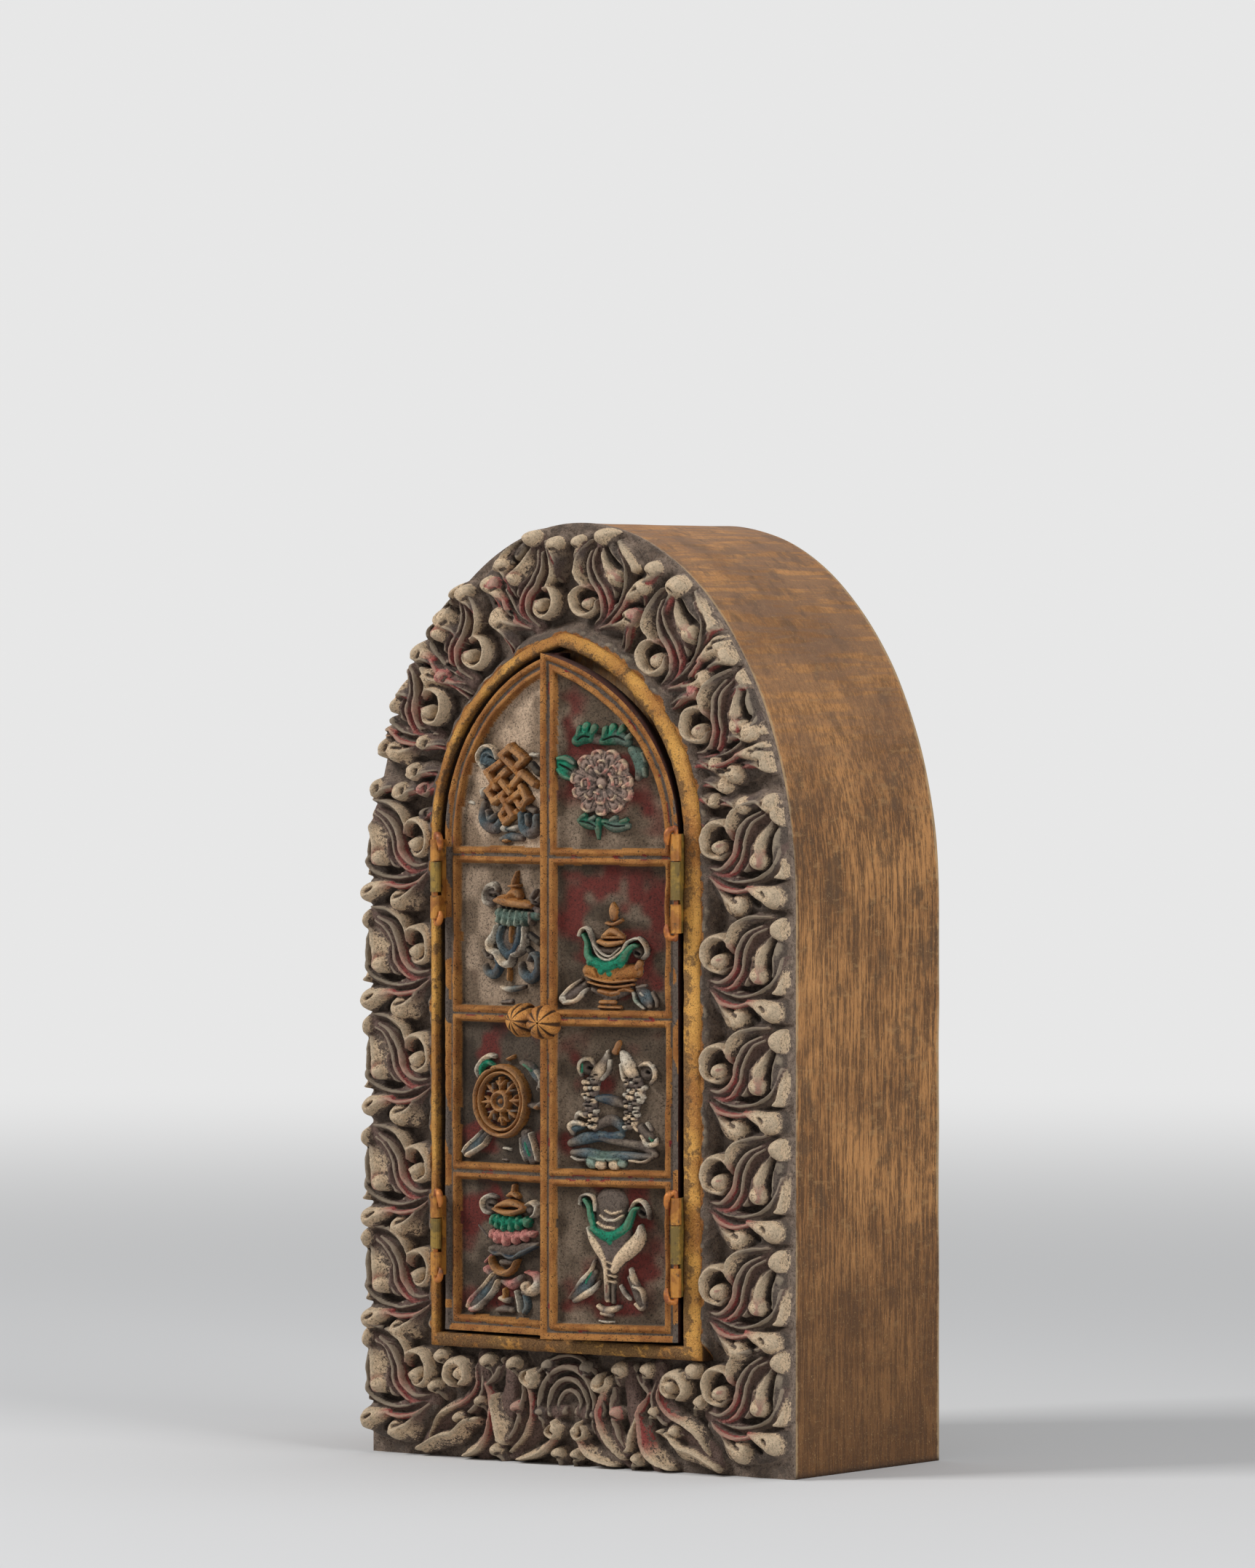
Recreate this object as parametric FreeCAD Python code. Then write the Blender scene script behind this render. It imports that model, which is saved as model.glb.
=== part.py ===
"""Small carved altar cabinet: an arched wooden block with a niche behind two hinged doors."""
import math
import os

import FreeCAD, Part

Vec = FreeCAD.Vector

# Block. X is across, Y is front to back with the front at negative Y, Z is up. Millimetres.
BLOCK_WIDTH = 211.0
BLOCK_DEPTH = 102.0
BLOCK_HEIGHT = 380.0
ARCH_RISE = 152.0
GROUND_Y = -BLOCK_DEPTH / 2

# Doorway and the gold frame round it. The carver's frame and doors sit right of the opening.
DOORWAY_X = -3.2
DOORWAY_HALF = 61.5
DOORWAY_BOTTOM = 51.5
TOP_MARGIN = 50.0
POINT_RISE = 77.0
FRAME_SHIFT = 1.9
FRAME_BAR = 6.0
FRAME_PROUD = 11.7
FRAME_ROUND = 2.4

# Niche behind the doors.
REBATE_DEPTH = 2.2
LEDGE = 8.0
NICHE_DEPTH = 82.0

# Doors.
DOOR_SHIFT = 1.4
DOOR_THICK = 12.0
DOOR_RECESS = 1.0
DOOR_GAP = 2.1
FOOT_GAP = 1.2
MEETING_GAP = 2.0
EDGE_BEVEL = 2.6
RIGHT_AJAR = 17.0
LEFT_AJAR = 3.0
STILE = 6.2
RAIL = 6.6
RAIL_SHARES = (0.3275, 0.645, 0.965)
PANEL_DEPTH = 4.2
BEAD_OUTER = 2.2
GROOVE_WIDTH = 1.2
GROOVE_DEPTH = 1.5

# Hinges. Lengths of a hinge's parts are shares of its length, from the bottom up.
AXIS_PROUD = 3.8
AXIS_OUT = 0.8
BARREL_RADIUS = 2.2
LEAF_THICK = 0.6
LEAF_INSERT = 8.0
HINGE_LENGTHS = {"right": 39.5, "left": 32.0}
HINGE_SHARES = (0.196, 0.915)
LOWER_KNUCKLE = 0.29
OPEN_GAP = 0.045
UPPER_KNUCKLE = 0.27
BARREL_SIDES = 14
HOLE_SIDES = 10
KNUCKLE_GAP = 0.4
PIN_RADIUS = 1.0
PIN_SIDES = 16
HOOK_LENGTH = 5.0
HOOK_SIDES = 6
RUNNING_GAP = 0.06

# Knobs.
KNOB_INSETS = {"right": 4.7, "left": 9.7}
KNOB_SHARE = 0.633
KNOB_RADIUS = 7.4
KNOB_NECK = 3.0
KNOB_FLUTES = 8
KNOB_FLUTE_SHARE = 0.86
KNOB_PROFILE = ((0.5, 0.0), (0.5, 2.0), (0.9, 4.5), (1.0, 8.0), (0.9, 12.0), (0.55, 15.2), (0.2, 16.4))

# Carved border.
BORDER_FLOOR = 2.0
RELIEF = 13.0
VOLUTE_INSET = 30.5
FIRST_VOLUTE = 35.0
SIDE_STEPS = 5
ARCH_VOLUTES = ((68.0, 40.0, 15.0, 0.88), (43.6, 69.6, 40.0, 1.0), (9.8, 93.0, 64.0, 0.8))
FOOT_MIDDLE = -2.0

# Symbols. They are drawn for a panel of this width and height.
DRAWN_WIDTH = 46.0
DRAWN_HEIGHT = 57.4

DOORWAY_APEX = BLOCK_HEIGHT - TOP_MARGIN
DOORWAY_SPRING = DOORWAY_APEX - POINT_RISE
FRAME_X = DOORWAY_X + FRAME_SHIFT
DOOR_X = DOORWAY_X + DOOR_SHIFT
DOOR_HALF = DOORWAY_HALF - DOOR_GAP

FRAME_Y = GROUND_Y - FRAME_PROUD
DOOR_FRONT = FRAME_Y + DOOR_RECESS
DOOR_BACK = DOOR_FRONT + DOOR_THICK
AXIS_Y = FRAME_Y - AXIS_PROUD
AXIS_REACH = DOOR_HALF + AXIS_OUT
PANEL_FLOOR = DOOR_FRONT + PANEL_DEPTH
MEETING_EDGE = MEETING_GAP / 2


def up_the_side(share):
    """Height at a share of the doorway's straight side."""
    return DOORWAY_BOTTOM + share * (DOORWAY_SPRING - DOORWAY_BOTTOM)


def prism(wire, y_from, y_to):
    """Solid between two planes of constant Y from a closed wire drawn at Y = 0."""
    face = Part.Face(wire)
    face.translate(Vec(0, y_from, 0))
    return face.extrude(Vec(0, y_to - y_from, 0))


def polygon(points):
    """Closed wire at Y = 0 through (x, z) points."""
    corners = [Vec(x, 0, z) for x, z in points]
    return Part.makePolygon(corners + corners[:1])


def box(x_range, y_range, z_range):
    """Box from three (low, high) pairs."""
    size = [high - low for low, high in (x_range, y_range, z_range)]
    return Part.makeBox(size[0], size[1], size[2], Vec(x_range[0], y_range[0], z_range[0]))


def pointed_wire(centre, half, bottom, spring, apex):
    """Closed outline of a pointed arch on straight sides."""
    rise = apex - spring
    shift = (rise * rise - half * half) / (2 * half)
    radius = half + shift
    middle = math.atan2(rise, shift) / 2
    dx = radius * math.cos(middle) - shift
    dz = radius * math.sin(middle)
    top = Vec(centre, 0, apex)
    right = Vec(centre + half, 0, spring)
    left = Vec(centre - half, 0, spring)
    foot_right = Vec(centre + half, 0, bottom)
    foot_left = Vec(centre - half, 0, bottom)
    edges = [
        Part.LineSegment(foot_left, foot_right).toShape(),
        Part.LineSegment(foot_right, right).toShape(),
        Part.Arc(right, Vec(centre + dx, 0, spring + dz), top).toShape(),
        Part.Arc(top, Vec(centre - dx, 0, spring + dz), left).toShape(),
        Part.LineSegment(left, foot_left).toShape(),
    ]
    return Part.Wire(edges)


def doorway_wire(outset, centre=DOORWAY_X):
    """Doorway outline grown by outset about a centre; a negative outset shrinks it."""
    shift = (POINT_RISE * POINT_RISE - DOORWAY_HALF * DOORWAY_HALF) / (2 * DOORWAY_HALF)
    half = DOORWAY_HALF + outset
    radius = half + shift
    apex = DOORWAY_SPRING + math.sqrt(radius * radius - shift * shift)
    return pointed_wire(centre, half, DOORWAY_BOTTOM - outset, DOORWAY_SPRING, apex)


def block_wire():
    """Outline of the block: straight sides under half an ellipse."""
    half = BLOCK_WIDTH / 2
    spring = BLOCK_HEIGHT - ARCH_RISE
    centre = Vec(0, 0, spring)
    ellipse = Part.Ellipse(Vec(0, 0, BLOCK_HEIGHT), Vec(half, 0, spring), centre)
    arch = ellipse.toShape(-math.pi / 2, math.pi / 2)
    base_left = Vec(-half, 0, 0)
    base_right = Vec(half, 0, 0)
    edges = [
        arch,
        Part.LineSegment(Vec(half, 0, spring), base_right).toShape(),
        Part.LineSegment(base_right, base_left).toShape(),
        Part.LineSegment(base_left, Vec(-half, 0, spring)).toShape(),
    ]
    return Part.Wire(Part.__sortEdges__(edges))


def make_casing():
    """The arched block with its rebate and niche."""
    block = prism(block_wire(), GROUND_Y, -GROUND_Y)
    rebate = prism(doorway_wire(0), GROUND_Y, GROUND_Y + REBATE_DEPTH)
    niche = prism(doorway_wire(-LEDGE), GROUND_Y, GROUND_Y + NICHE_DEPTH)
    return block.cut(rebate.fuse(niche))


def doorway_stack(outset, taper, centre):
    """Solid with the doorway's outline whose front edge is rounded in by taper."""
    levels = (
        (GROUND_Y, 0.0),
        (FRAME_Y + FRAME_ROUND, 0.0),
        (FRAME_Y + FRAME_ROUND * 0.3, taper * 0.3),
        (FRAME_Y, taper),
    )
    wires = []
    for y, inset in levels:
        wire = doorway_wire(outset - inset, centre)
        wire.translate(Vec(0, y, 0))
        wires.append(wire)
    return Part.makeLoft(wires, True, True)


def make_door_frame():
    """Rounded gold moulding that stands proud round the doorway."""
    outside = doorway_stack(FRAME_BAR, FRAME_ROUND, FRAME_X)
    frame = outside.cut(doorway_stack(0.0, -FRAME_ROUND, DOORWAY_X))
    for side in (1, -1):
        for share in HINGE_SHARES:
            frame = frame.cut(on_side(frame_leaf_seat(side, share), side))
    return frame


def door_region(inset, y_from, y_to):
    """Right door's outline shrunk by inset, as a solid, in the shut position."""
    arch = prism(doorway_wire(-DOOR_GAP - inset, DOOR_X), y_from, y_to)
    x_range = (DOOR_X + MEETING_EDGE + inset, DOOR_X + DOOR_HALF)
    z_range = (DOORWAY_BOTTOM + FOOT_GAP + inset, DOORWAY_APEX)
    return arch.common(box(x_range, (y_from, y_to), z_range))


def rail_heights():
    """Middle heights of the rails."""
    return [up_the_side(share) for share in RAIL_SHARES]


def meeting_bevel():
    """Wedge cut from the back of the meeting edge so that both doors swing free."""
    edge = DOOR_X + MEETING_EDGE
    corners = [Vec(edge, DOOR_FRONT, 0), Vec(edge + EDGE_BEVEL, DOOR_BACK, 0)]
    corners.append(Vec(edge - 1, DOOR_BACK, 0))
    corners.append(Vec(edge - 1, DOOR_FRONT, 0))
    face = Part.Face(Part.makePolygon(corners + corners[:1]))
    return face.extrude(Vec(0, 0, BLOCK_HEIGHT))


def panel_pockets():
    """Four recesses of the right door."""
    inside = door_region(STILE, DOOR_FRONT, PANEL_FLOOR)
    across = (-BLOCK_WIDTH, BLOCK_WIDTH)
    for height in rail_heights():
        rail = box(across, (DOOR_FRONT, PANEL_FLOOR), (height - RAIL / 2, height + RAIL / 2))
        inside = inside.cut(rail)
    return inside


def bead_grooves():
    """Dark groove round the door and along each rail, between the gold beads."""
    depth = DOOR_FRONT + GROOVE_DEPTH
    loop = door_region(BEAD_OUTER, DOOR_FRONT, depth)
    inner = door_region(BEAD_OUTER + GROOVE_WIDTH, DOOR_FRONT, depth)
    grooves = loop.cut(inner)
    for height in rail_heights():
        z_range = (height - GROOVE_WIDTH / 2, height + GROOVE_WIDTH / 2)
        line = box((-BLOCK_WIDTH, BLOCK_WIDTH), (DOOR_FRONT, depth), z_range)
        grooves = grooves.fuse(line.common(loop))
    return grooves


def make_board(side):
    """Door board as a right door, shut: recessed panels, beads, bevelled meeting edge, leaf seats."""
    board = door_region(0, DOOR_FRONT, DOOR_BACK)
    board = board.cut(meeting_bevel())
    board = board.cut(panel_pockets())
    board = board.cut(bead_grooves())
    for share in HINGE_SHARES:
        board = board.cut(door_leaf_seat(side, share))
    return board


def on_side(shape, side):
    """The shape as drawn for the right, or its mirror image between the doors for the left."""
    return shape if side > 0 else shape.mirror(Vec(DOOR_X, 0, 0), Vec(1, 0, 0))


def swung(shape, side):
    """Turn a door piece from shut to its rest position; side is 1 for right, -1 for left."""
    turned = shape.copy()
    angle = RIGHT_AJAR if side > 0 else -LEFT_AJAR
    turned.rotate(Vec(DOOR_X + side * AXIS_REACH, AXIS_Y, 0), Vec(0, 0, 1), angle)
    return turned


def rod(start, end, radius):
    """Round rod between two points."""
    return Part.makeCylinder(radius, (end - start).Length, start, end - start)


def ring_points(x, z, radius, sides):
    """Corners of a regular polygon whose first flat is square to the axes."""
    turns = [2 * math.pi * (step + 0.5) / sides for step in range(sides)]
    return [(x + radius * math.cos(turn), z + radius * math.sin(turn)) for turn in turns]


def bar(start, end, radius, sides):
    """Straight bar of few sides between two points."""
    corners = [Vec(x, y, 0) for x, y in ring_points(0.0, 0.0, radius, sides)]
    shape = Part.Face(Part.makePolygon(corners + corners[:1]))
    shape = shape.extrude(Vec(0, 0, (end - start).Length))
    turn = FreeCAD.Rotation(Vec(0, 0, 1), end - start)
    shape.Placement = FreeCAD.Placement(start, turn)
    return shape


def knuckle(low, high):
    """Barrel section on the right hinge axis, without its hole."""
    x = DOOR_X + AXIS_REACH
    return bar(Vec(x, AXIS_Y, low), Vec(x, AXIS_Y, high), BARREL_RADIUS, BARREL_SIDES)


def hinge_span(side, share):
    """Lowest and highest Z of a hinge barrel."""
    length = HINGE_LENGTHS["right" if side > 0 else "left"]
    middle = up_the_side(share)
    return middle - length / 2, middle + length / 2


def pin_line(side, share):
    """Two points on the right hinge axis, well past both ends of the barrel."""
    x = DOOR_X + AXIS_REACH
    low, high = hinge_span(side, share)
    return Vec(x, AXIS_Y, low - BARREL_RADIUS), Vec(x, AXIS_Y, high + BARREL_RADIUS)


def hinge_sections(side, share):
    """Z ranges of the lower, middle and upper knuckles."""
    low, high = hinge_span(side, share)
    length = high - low
    lower = (low, low + LOWER_KNUCKLE * length)
    upper = (high - UPPER_KNUCKLE * length, high)
    middle = (lower[1] + OPEN_GAP * length, upper[0] - KNUCKLE_GAP)
    return lower, middle, upper


def leaf_front():
    """Y of the front edge of both leaves, just behind the barrel."""
    return AXIS_Y + BARREL_RADIUS + KNUCKLE_GAP


def frame_wall(side):
    """X of the opening's side, as seen on the right door."""
    return DOOR_X + DOORWAY_HALF - side * DOOR_SHIFT


def frame_leaf_seat(side, share):
    """Space that a leaf fills in the side of the opening."""
    wall = frame_wall(side)
    y_range = (leaf_front(), FRAME_Y + LEAF_INSERT)
    return box((wall, wall + LEAF_THICK), y_range, hinge_span(side, share))


def door_leaf_seat(side, share):
    """Space that a leaf fills in the edge of the door."""
    edge = DOOR_X + DOOR_HALF
    y_range = (leaf_front(), DOOR_FRONT + LEAF_INSERT)
    return box((edge - LEAF_THICK, edge), y_range, hinge_span(side, share))


def web(x_range, z_range):
    """Short strip that joins a leaf to its own knuckle."""
    start = AXIS_Y + (PIN_RADIUS + BARREL_RADIUS) / 2 - LEAF_THICK / 2
    return box(x_range, (start, leaf_front()), z_range)


def make_frame_leaf(side, share):
    """Hinge leaf on the frame, with the middle knuckle."""
    _, middle, _ = hinge_sections(side, share)
    wall = frame_wall(side)
    near = min(wall, DOOR_X + AXIS_REACH - LEAF_THICK / 2)
    strip = web((near, wall + LEAF_THICK), middle)
    leaf = frame_leaf_seat(side, share).fuse([strip, knuckle(middle[0], middle[1])])
    low, high = pin_line(side, share)
    return leaf.cut(rod(low, high, PIN_RADIUS + RUNNING_GAP))


def make_door_leaf(side, share):
    """Hinge leaf on the door edge, with the outer knuckles."""
    lower, _, upper = hinge_sections(side, share)
    edge = DOOR_X + DOOR_HALF
    pieces = []
    for section in (lower, upper):
        pieces.append(web((edge - LEAF_THICK, edge), section))
        pieces.append(knuckle(section[0], section[1]))
    low, high = pin_line(side, share)
    round_pin = PIN_RADIUS / math.cos(math.pi / HOLE_SIDES)
    leaf = door_leaf_seat(side, share).fuse(pieces)
    return leaf.cut(bar(low, high, round_pin, HOLE_SIDES))


def make_hinge_pin(side, share):
    """Nail pin with both ends bent over beside the barrel."""
    x = DOOR_X + AXIS_REACH
    low, high = hinge_span(side, share)
    low -= PIN_RADIUS + KNUCKLE_GAP
    high += PIN_RADIUS + KNUCKLE_GAP
    reach = BARREL_RADIUS + PIN_RADIUS + KNUCKLE_GAP
    over = PIN_RADIUS * 0.8
    shape = bar(Vec(x, AXIS_Y, low), Vec(x, AXIS_Y, high), PIN_RADIUS, PIN_SIDES)
    for end, way in ((low, 1), (high, -1)):
        head = Vec(x + over, AXIS_Y, end)
        elbow = Vec(x - reach - over, AXIS_Y, end)
        shape = shape.fuse(bar(head, elbow, PIN_RADIUS, HOOK_SIDES))
        start = Vec(x - reach, AXIS_Y, end - way * over)
        tip = Vec(x - reach, AXIS_Y, end + way * HOOK_LENGTH)
        shape = shape.fuse(bar(start, tip, PIN_RADIUS, HOOK_SIDES))
    return shape


def layered(rings):
    """Solid of flat facets through rings of (x, y, z) corners, all with as many corners."""
    faces = []
    for low, high in zip(rings, rings[1:]):
        count = len(low)
        for index in range(count):
            after = (index + 1) % count
            for corners in ((low[index], low[after], high[after]),
                            (low[index], high[after], high[index])):
                points = [Vec(*corner) for corner in corners]
                faces.append(Part.Face(Part.makePolygon(points + points[:1])))
    for ring in (rings[0], rings[-1]):
        points = [Vec(*corner) for corner in ring]
        faces.append(Part.Face(Part.makePolygon(points + points[:1])))
    solid = Part.Solid(Part.Shell(faces))
    if solid.Volume < 0:
        solid.reverse()
    return solid


def make_knob(inset):
    """Fluted bud-shaped knob of the right door, at a distance from the meeting edge."""
    centre = DOOR_X + MEETING_EDGE + inset
    height = up_the_side(KNOB_SHARE)
    rings = []
    for share, reach in KNOB_PROFILE:
        ring = []
        for step in range(2 * KNOB_FLUTES):
            turn = math.pi * step / KNOB_FLUTES
            flute = 1.0 if step % 2 == 0 or reach < KNOB_NECK else KNOB_FLUTE_SHARE
            radius = KNOB_RADIUS * share * flute
            x = centre + radius * math.cos(turn)
            z = height + radius * math.sin(turn)
            ring.append((x, DOOR_FRONT - reach, z))
        rings.append(ring)
    return layered(rings)


def stroke_outline(path, widths):
    """Closed outline of a tapering stroke along an (x, z) path."""
    left = []
    right = []
    last = len(path) - 1
    for index, (x, z) in enumerate(path):
        ahead = path[min(index + 1, last)]
        behind = path[max(index - 1, 0)]
        dx = ahead[0] - behind[0]
        dz = ahead[1] - behind[1]
        length = math.hypot(dx, dz)
        half = widths[index] / 2
        left.append((x - dz / length * half, z + dx / length * half))
        right.append((x + dz / length * half, z - dx / length * half))
    return left + right[::-1]


def at_depth(points, y):
    """The (x, z) points as (x, y, z) corners."""
    return [(x, y, z) for x, z in points]


def ridge(path, widths, y_back, y_front, crest=0.45):
    """Carved ridge: a stroke that narrows towards its front."""
    wide = stroke_outline(path, widths)
    slim = stroke_outline(path, [width * crest for width in widths])
    return layered([at_depth(wide, y_back), at_depth(slim, y_front)])


def boss(x, z, radius, y_back, y_front, sides):
    """Rounded boss as a short tapered prism."""
    wide = ring_points(x, z, radius, sides)
    slim = ring_points(x, z, radius * 0.6, sides)
    return layered([at_depth(wide, y_back), at_depth(slim, y_front)])


# Strokes of one acanthus unit about its volute: (outward, along) points, widths, height share.
UNIT_STROKES = (
    (((7.2, 2.4), (3.0, 8.2), (-4.6, 5.6), (-4.6, -2.5), (1.0, -5.0)),
     (1.0, 2.8, 3.2, 3.2, 2.0), 0.85),
    (((7.7, 1.0), (8.0, 10.0), (17.5, 17.5)), (1.4, 4.8, 1.2), 0.75),
    (((33.0, 16.5), (20.5, 8.0), (21.5, -6.5)), (6.5, 6.2, 4.4), 0.9),
    (((31.0, 10.5), (28.0, -10.0)), (5.6, 7.0), 1.0),
    (((-6.0, -14.5), (11.0, -15.5), (26.0, -9.5)), (1.6, 4.2, 2.4), 0.55),
    (((-5.0, -18.5), (5.0, -23.0), (19.0, -26.5)), (2.0, 5.6, 6.0), 0.76),
    (((13.5, -17.5), (31.0, -21.0)), (3.4, 6.8), 0.82),
)
UNIT_BALL = (0.8, -0.6, 3.4, 0.92)

# Strokes along the foot, right half, as (x, z) points, and the two arches at its centre.
FOOT_STROKES = (
    (((3.0, 17.5), (7.0, 14.0), (2.0, 11.5), (9.0, 6.5), (22.0, 1.5)),
     (1.4, 2.8, 2.6, 4.4, 2.4), 0.75),
    (((17.0, 30.5), (20.0, 35.5), (13.5, 34.5), (15.0, 21.0), (26.0, 5.5)),
     (1.4, 3.0, 3.4, 4.0, 2.8), 0.85),
    (((35.5, 33.0), (32.0, 18.5), (28.5, 9.5)), (2.0, 6.4, 4.0), 0.8),
    (((35.0, 30.0), (38.5, 14.5), (48.0, 2.0)), (2.0, 6.2, 3.6), 0.8),
    (((49.0, 31.0), (55.0, 33.5), (49.0, 38.5), (46.0, 29.5), (57.0, 21.5), (68.0, 9.5)),
     (1.6, 3.2, 3.4, 3.6, 5.2, 1.8), 0.85),
    (((45.0, 16.0), (56.0, 8.0), (71.0, 2.5)), (3.8, 7.0, 3.4), 0.85),
)
FOOT_ARCHES = ((5.0, 2.6, 0.45), (9.6, 3.0, 0.55), (14.5, 3.4, 0.65))
FOOT_ARCH_STEPS = 5
FOOT_ARCH_SQUASH = 1.15
FOOT_ARCH_BASE = 24.0


def unit_strokes(centre, side, turn_degrees=0.0, scale=1.0):
    """One acanthus unit about the volute centre; side mirrors it, turn_degrees leans it."""
    turn = math.radians(turn_degrees)
    y_back = GROUND_Y - BORDER_FLOOR / 2

    def place(outward, along):
        x = scale * (outward * math.cos(turn) - along * math.sin(turn))
        z = scale * (outward * math.sin(turn) + along * math.cos(turn))
        return side * (centre[0] + x), centre[1] + z

    solids = []
    for path, widths, height in UNIT_STROKES:
        points = [place(outward, along) for outward, along in path]
        scaled = [scale * width for width in widths]
        solids.append(ridge(points, scaled, y_back, GROUND_Y - RELIEF * height))
    outward, along, radius, height = UNIT_BALL
    x, z = place(outward, along)
    solids.append(boss(x, z, scale * radius, y_back, GROUND_Y - RELIEF * height, 5))
    return solids


def side_unit(side, step):
    """Unit up one side of the border, counted from the corner."""
    rise = (DOORWAY_SPRING - FIRST_VOLUTE) / SIDE_STEPS
    centre = (BLOCK_WIDTH / 2 - VOLUTE_INSET, FIRST_VOLUTE + rise * step)
    return unit_strokes(centre, side)


def arch_unit(side, place):
    """Unit on the arch, from its entry in ARCH_VOLUTES."""
    x, rise, turn_degrees, scale = place
    return unit_strokes((x, DOORWAY_SPRING + rise), side, turn_degrees, scale)


def side_units(side):
    """Units that reach into one side of the border."""
    solids = arch_unit(side, ARCH_VOLUTES[0])
    for step in range(SIDE_STEPS + 1):
        solids += side_unit(side, step)
    return solids


def arch_units():
    """Units round the arch, mirrored about the centre."""
    solids = []
    for side in (-1, 1):
        solids += side_unit(side, SIDE_STEPS)
        for place in ARCH_VOLUTES:
            solids += arch_unit(side, place)
    return solids


def foot_units():
    """Corner units, leaf scrolls and the nested arches along the foot."""
    y_back = GROUND_Y - BORDER_FLOOR / 2
    solids = []
    for side in (-1, 1):
        solids += side_unit(side, 0) + side_unit(side, 1)
        for path, widths, height in FOOT_STROKES:
            points = [(FOOT_MIDDLE + side * (x - FOOT_MIDDLE), z) for x, z in path]
            solids.append(ridge(points, widths, y_back, GROUND_Y - RELIEF * height))
    for radius, width, height in FOOT_ARCHES:
        points = []
        for step in range(FOOT_ARCH_STEPS + 1):
            turn = math.pi * step / FOOT_ARCH_STEPS
            x = FOOT_MIDDLE + radius * math.cos(turn)
            points.append((x, FOOT_ARCH_BASE + FOOT_ARCH_SQUASH * radius * math.sin(turn)))
        solids.append(ridge(points, [width] * len(points), y_back, GROUND_Y - RELIEF * height))
    return solids


def frame_outer():
    """Half-width of the gold frame's outside."""
    return DOORWAY_HALF + FRAME_BAR


def border_piece(x_range, z_range, solids):
    """Border floor with its carved strokes, kept inside the range and the block's outline."""
    y_range = (GROUND_Y - RELIEF, GROUND_Y)
    region = box(x_range, y_range, z_range)
    region = region.common(prism(block_wire(), y_range[0], y_range[1]))
    region = region.cut(prism(doorway_wire(FRAME_BAR, FRAME_X), y_range[0], y_range[1]))
    slab_y = (GROUND_Y - BORDER_FLOOR, GROUND_Y)
    floor = region.common(box(x_range, slab_y, z_range))
    reach = region.BoundBox
    near = [solid for solid in solids if solid.BoundBox.intersect(reach)]
    return floor.fuse([solid.common(region) for solid in near])


def make_borders():
    """Carved border in four pieces round the frame."""
    half = BLOCK_WIDTH / 2
    low = DOORWAY_BOTTOM - FRAME_BAR
    side_z = (low, DOORWAY_SPRING)
    left_x = (-half, FRAME_X - frame_outer())
    right_x = (FRAME_X + frame_outer(), half)
    arch_z = (DOORWAY_SPRING, BLOCK_HEIGHT)
    return {
        "border_left": border_piece(left_x, side_z, side_units(-1)),
        "border_right": border_piece(right_x, side_z, side_units(1)),
        "border_arch": border_piece((-half, half), arch_z, arch_units()),
        "border_foot": border_piece((-half, half), (0.0, low), foot_units()),
    }


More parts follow.
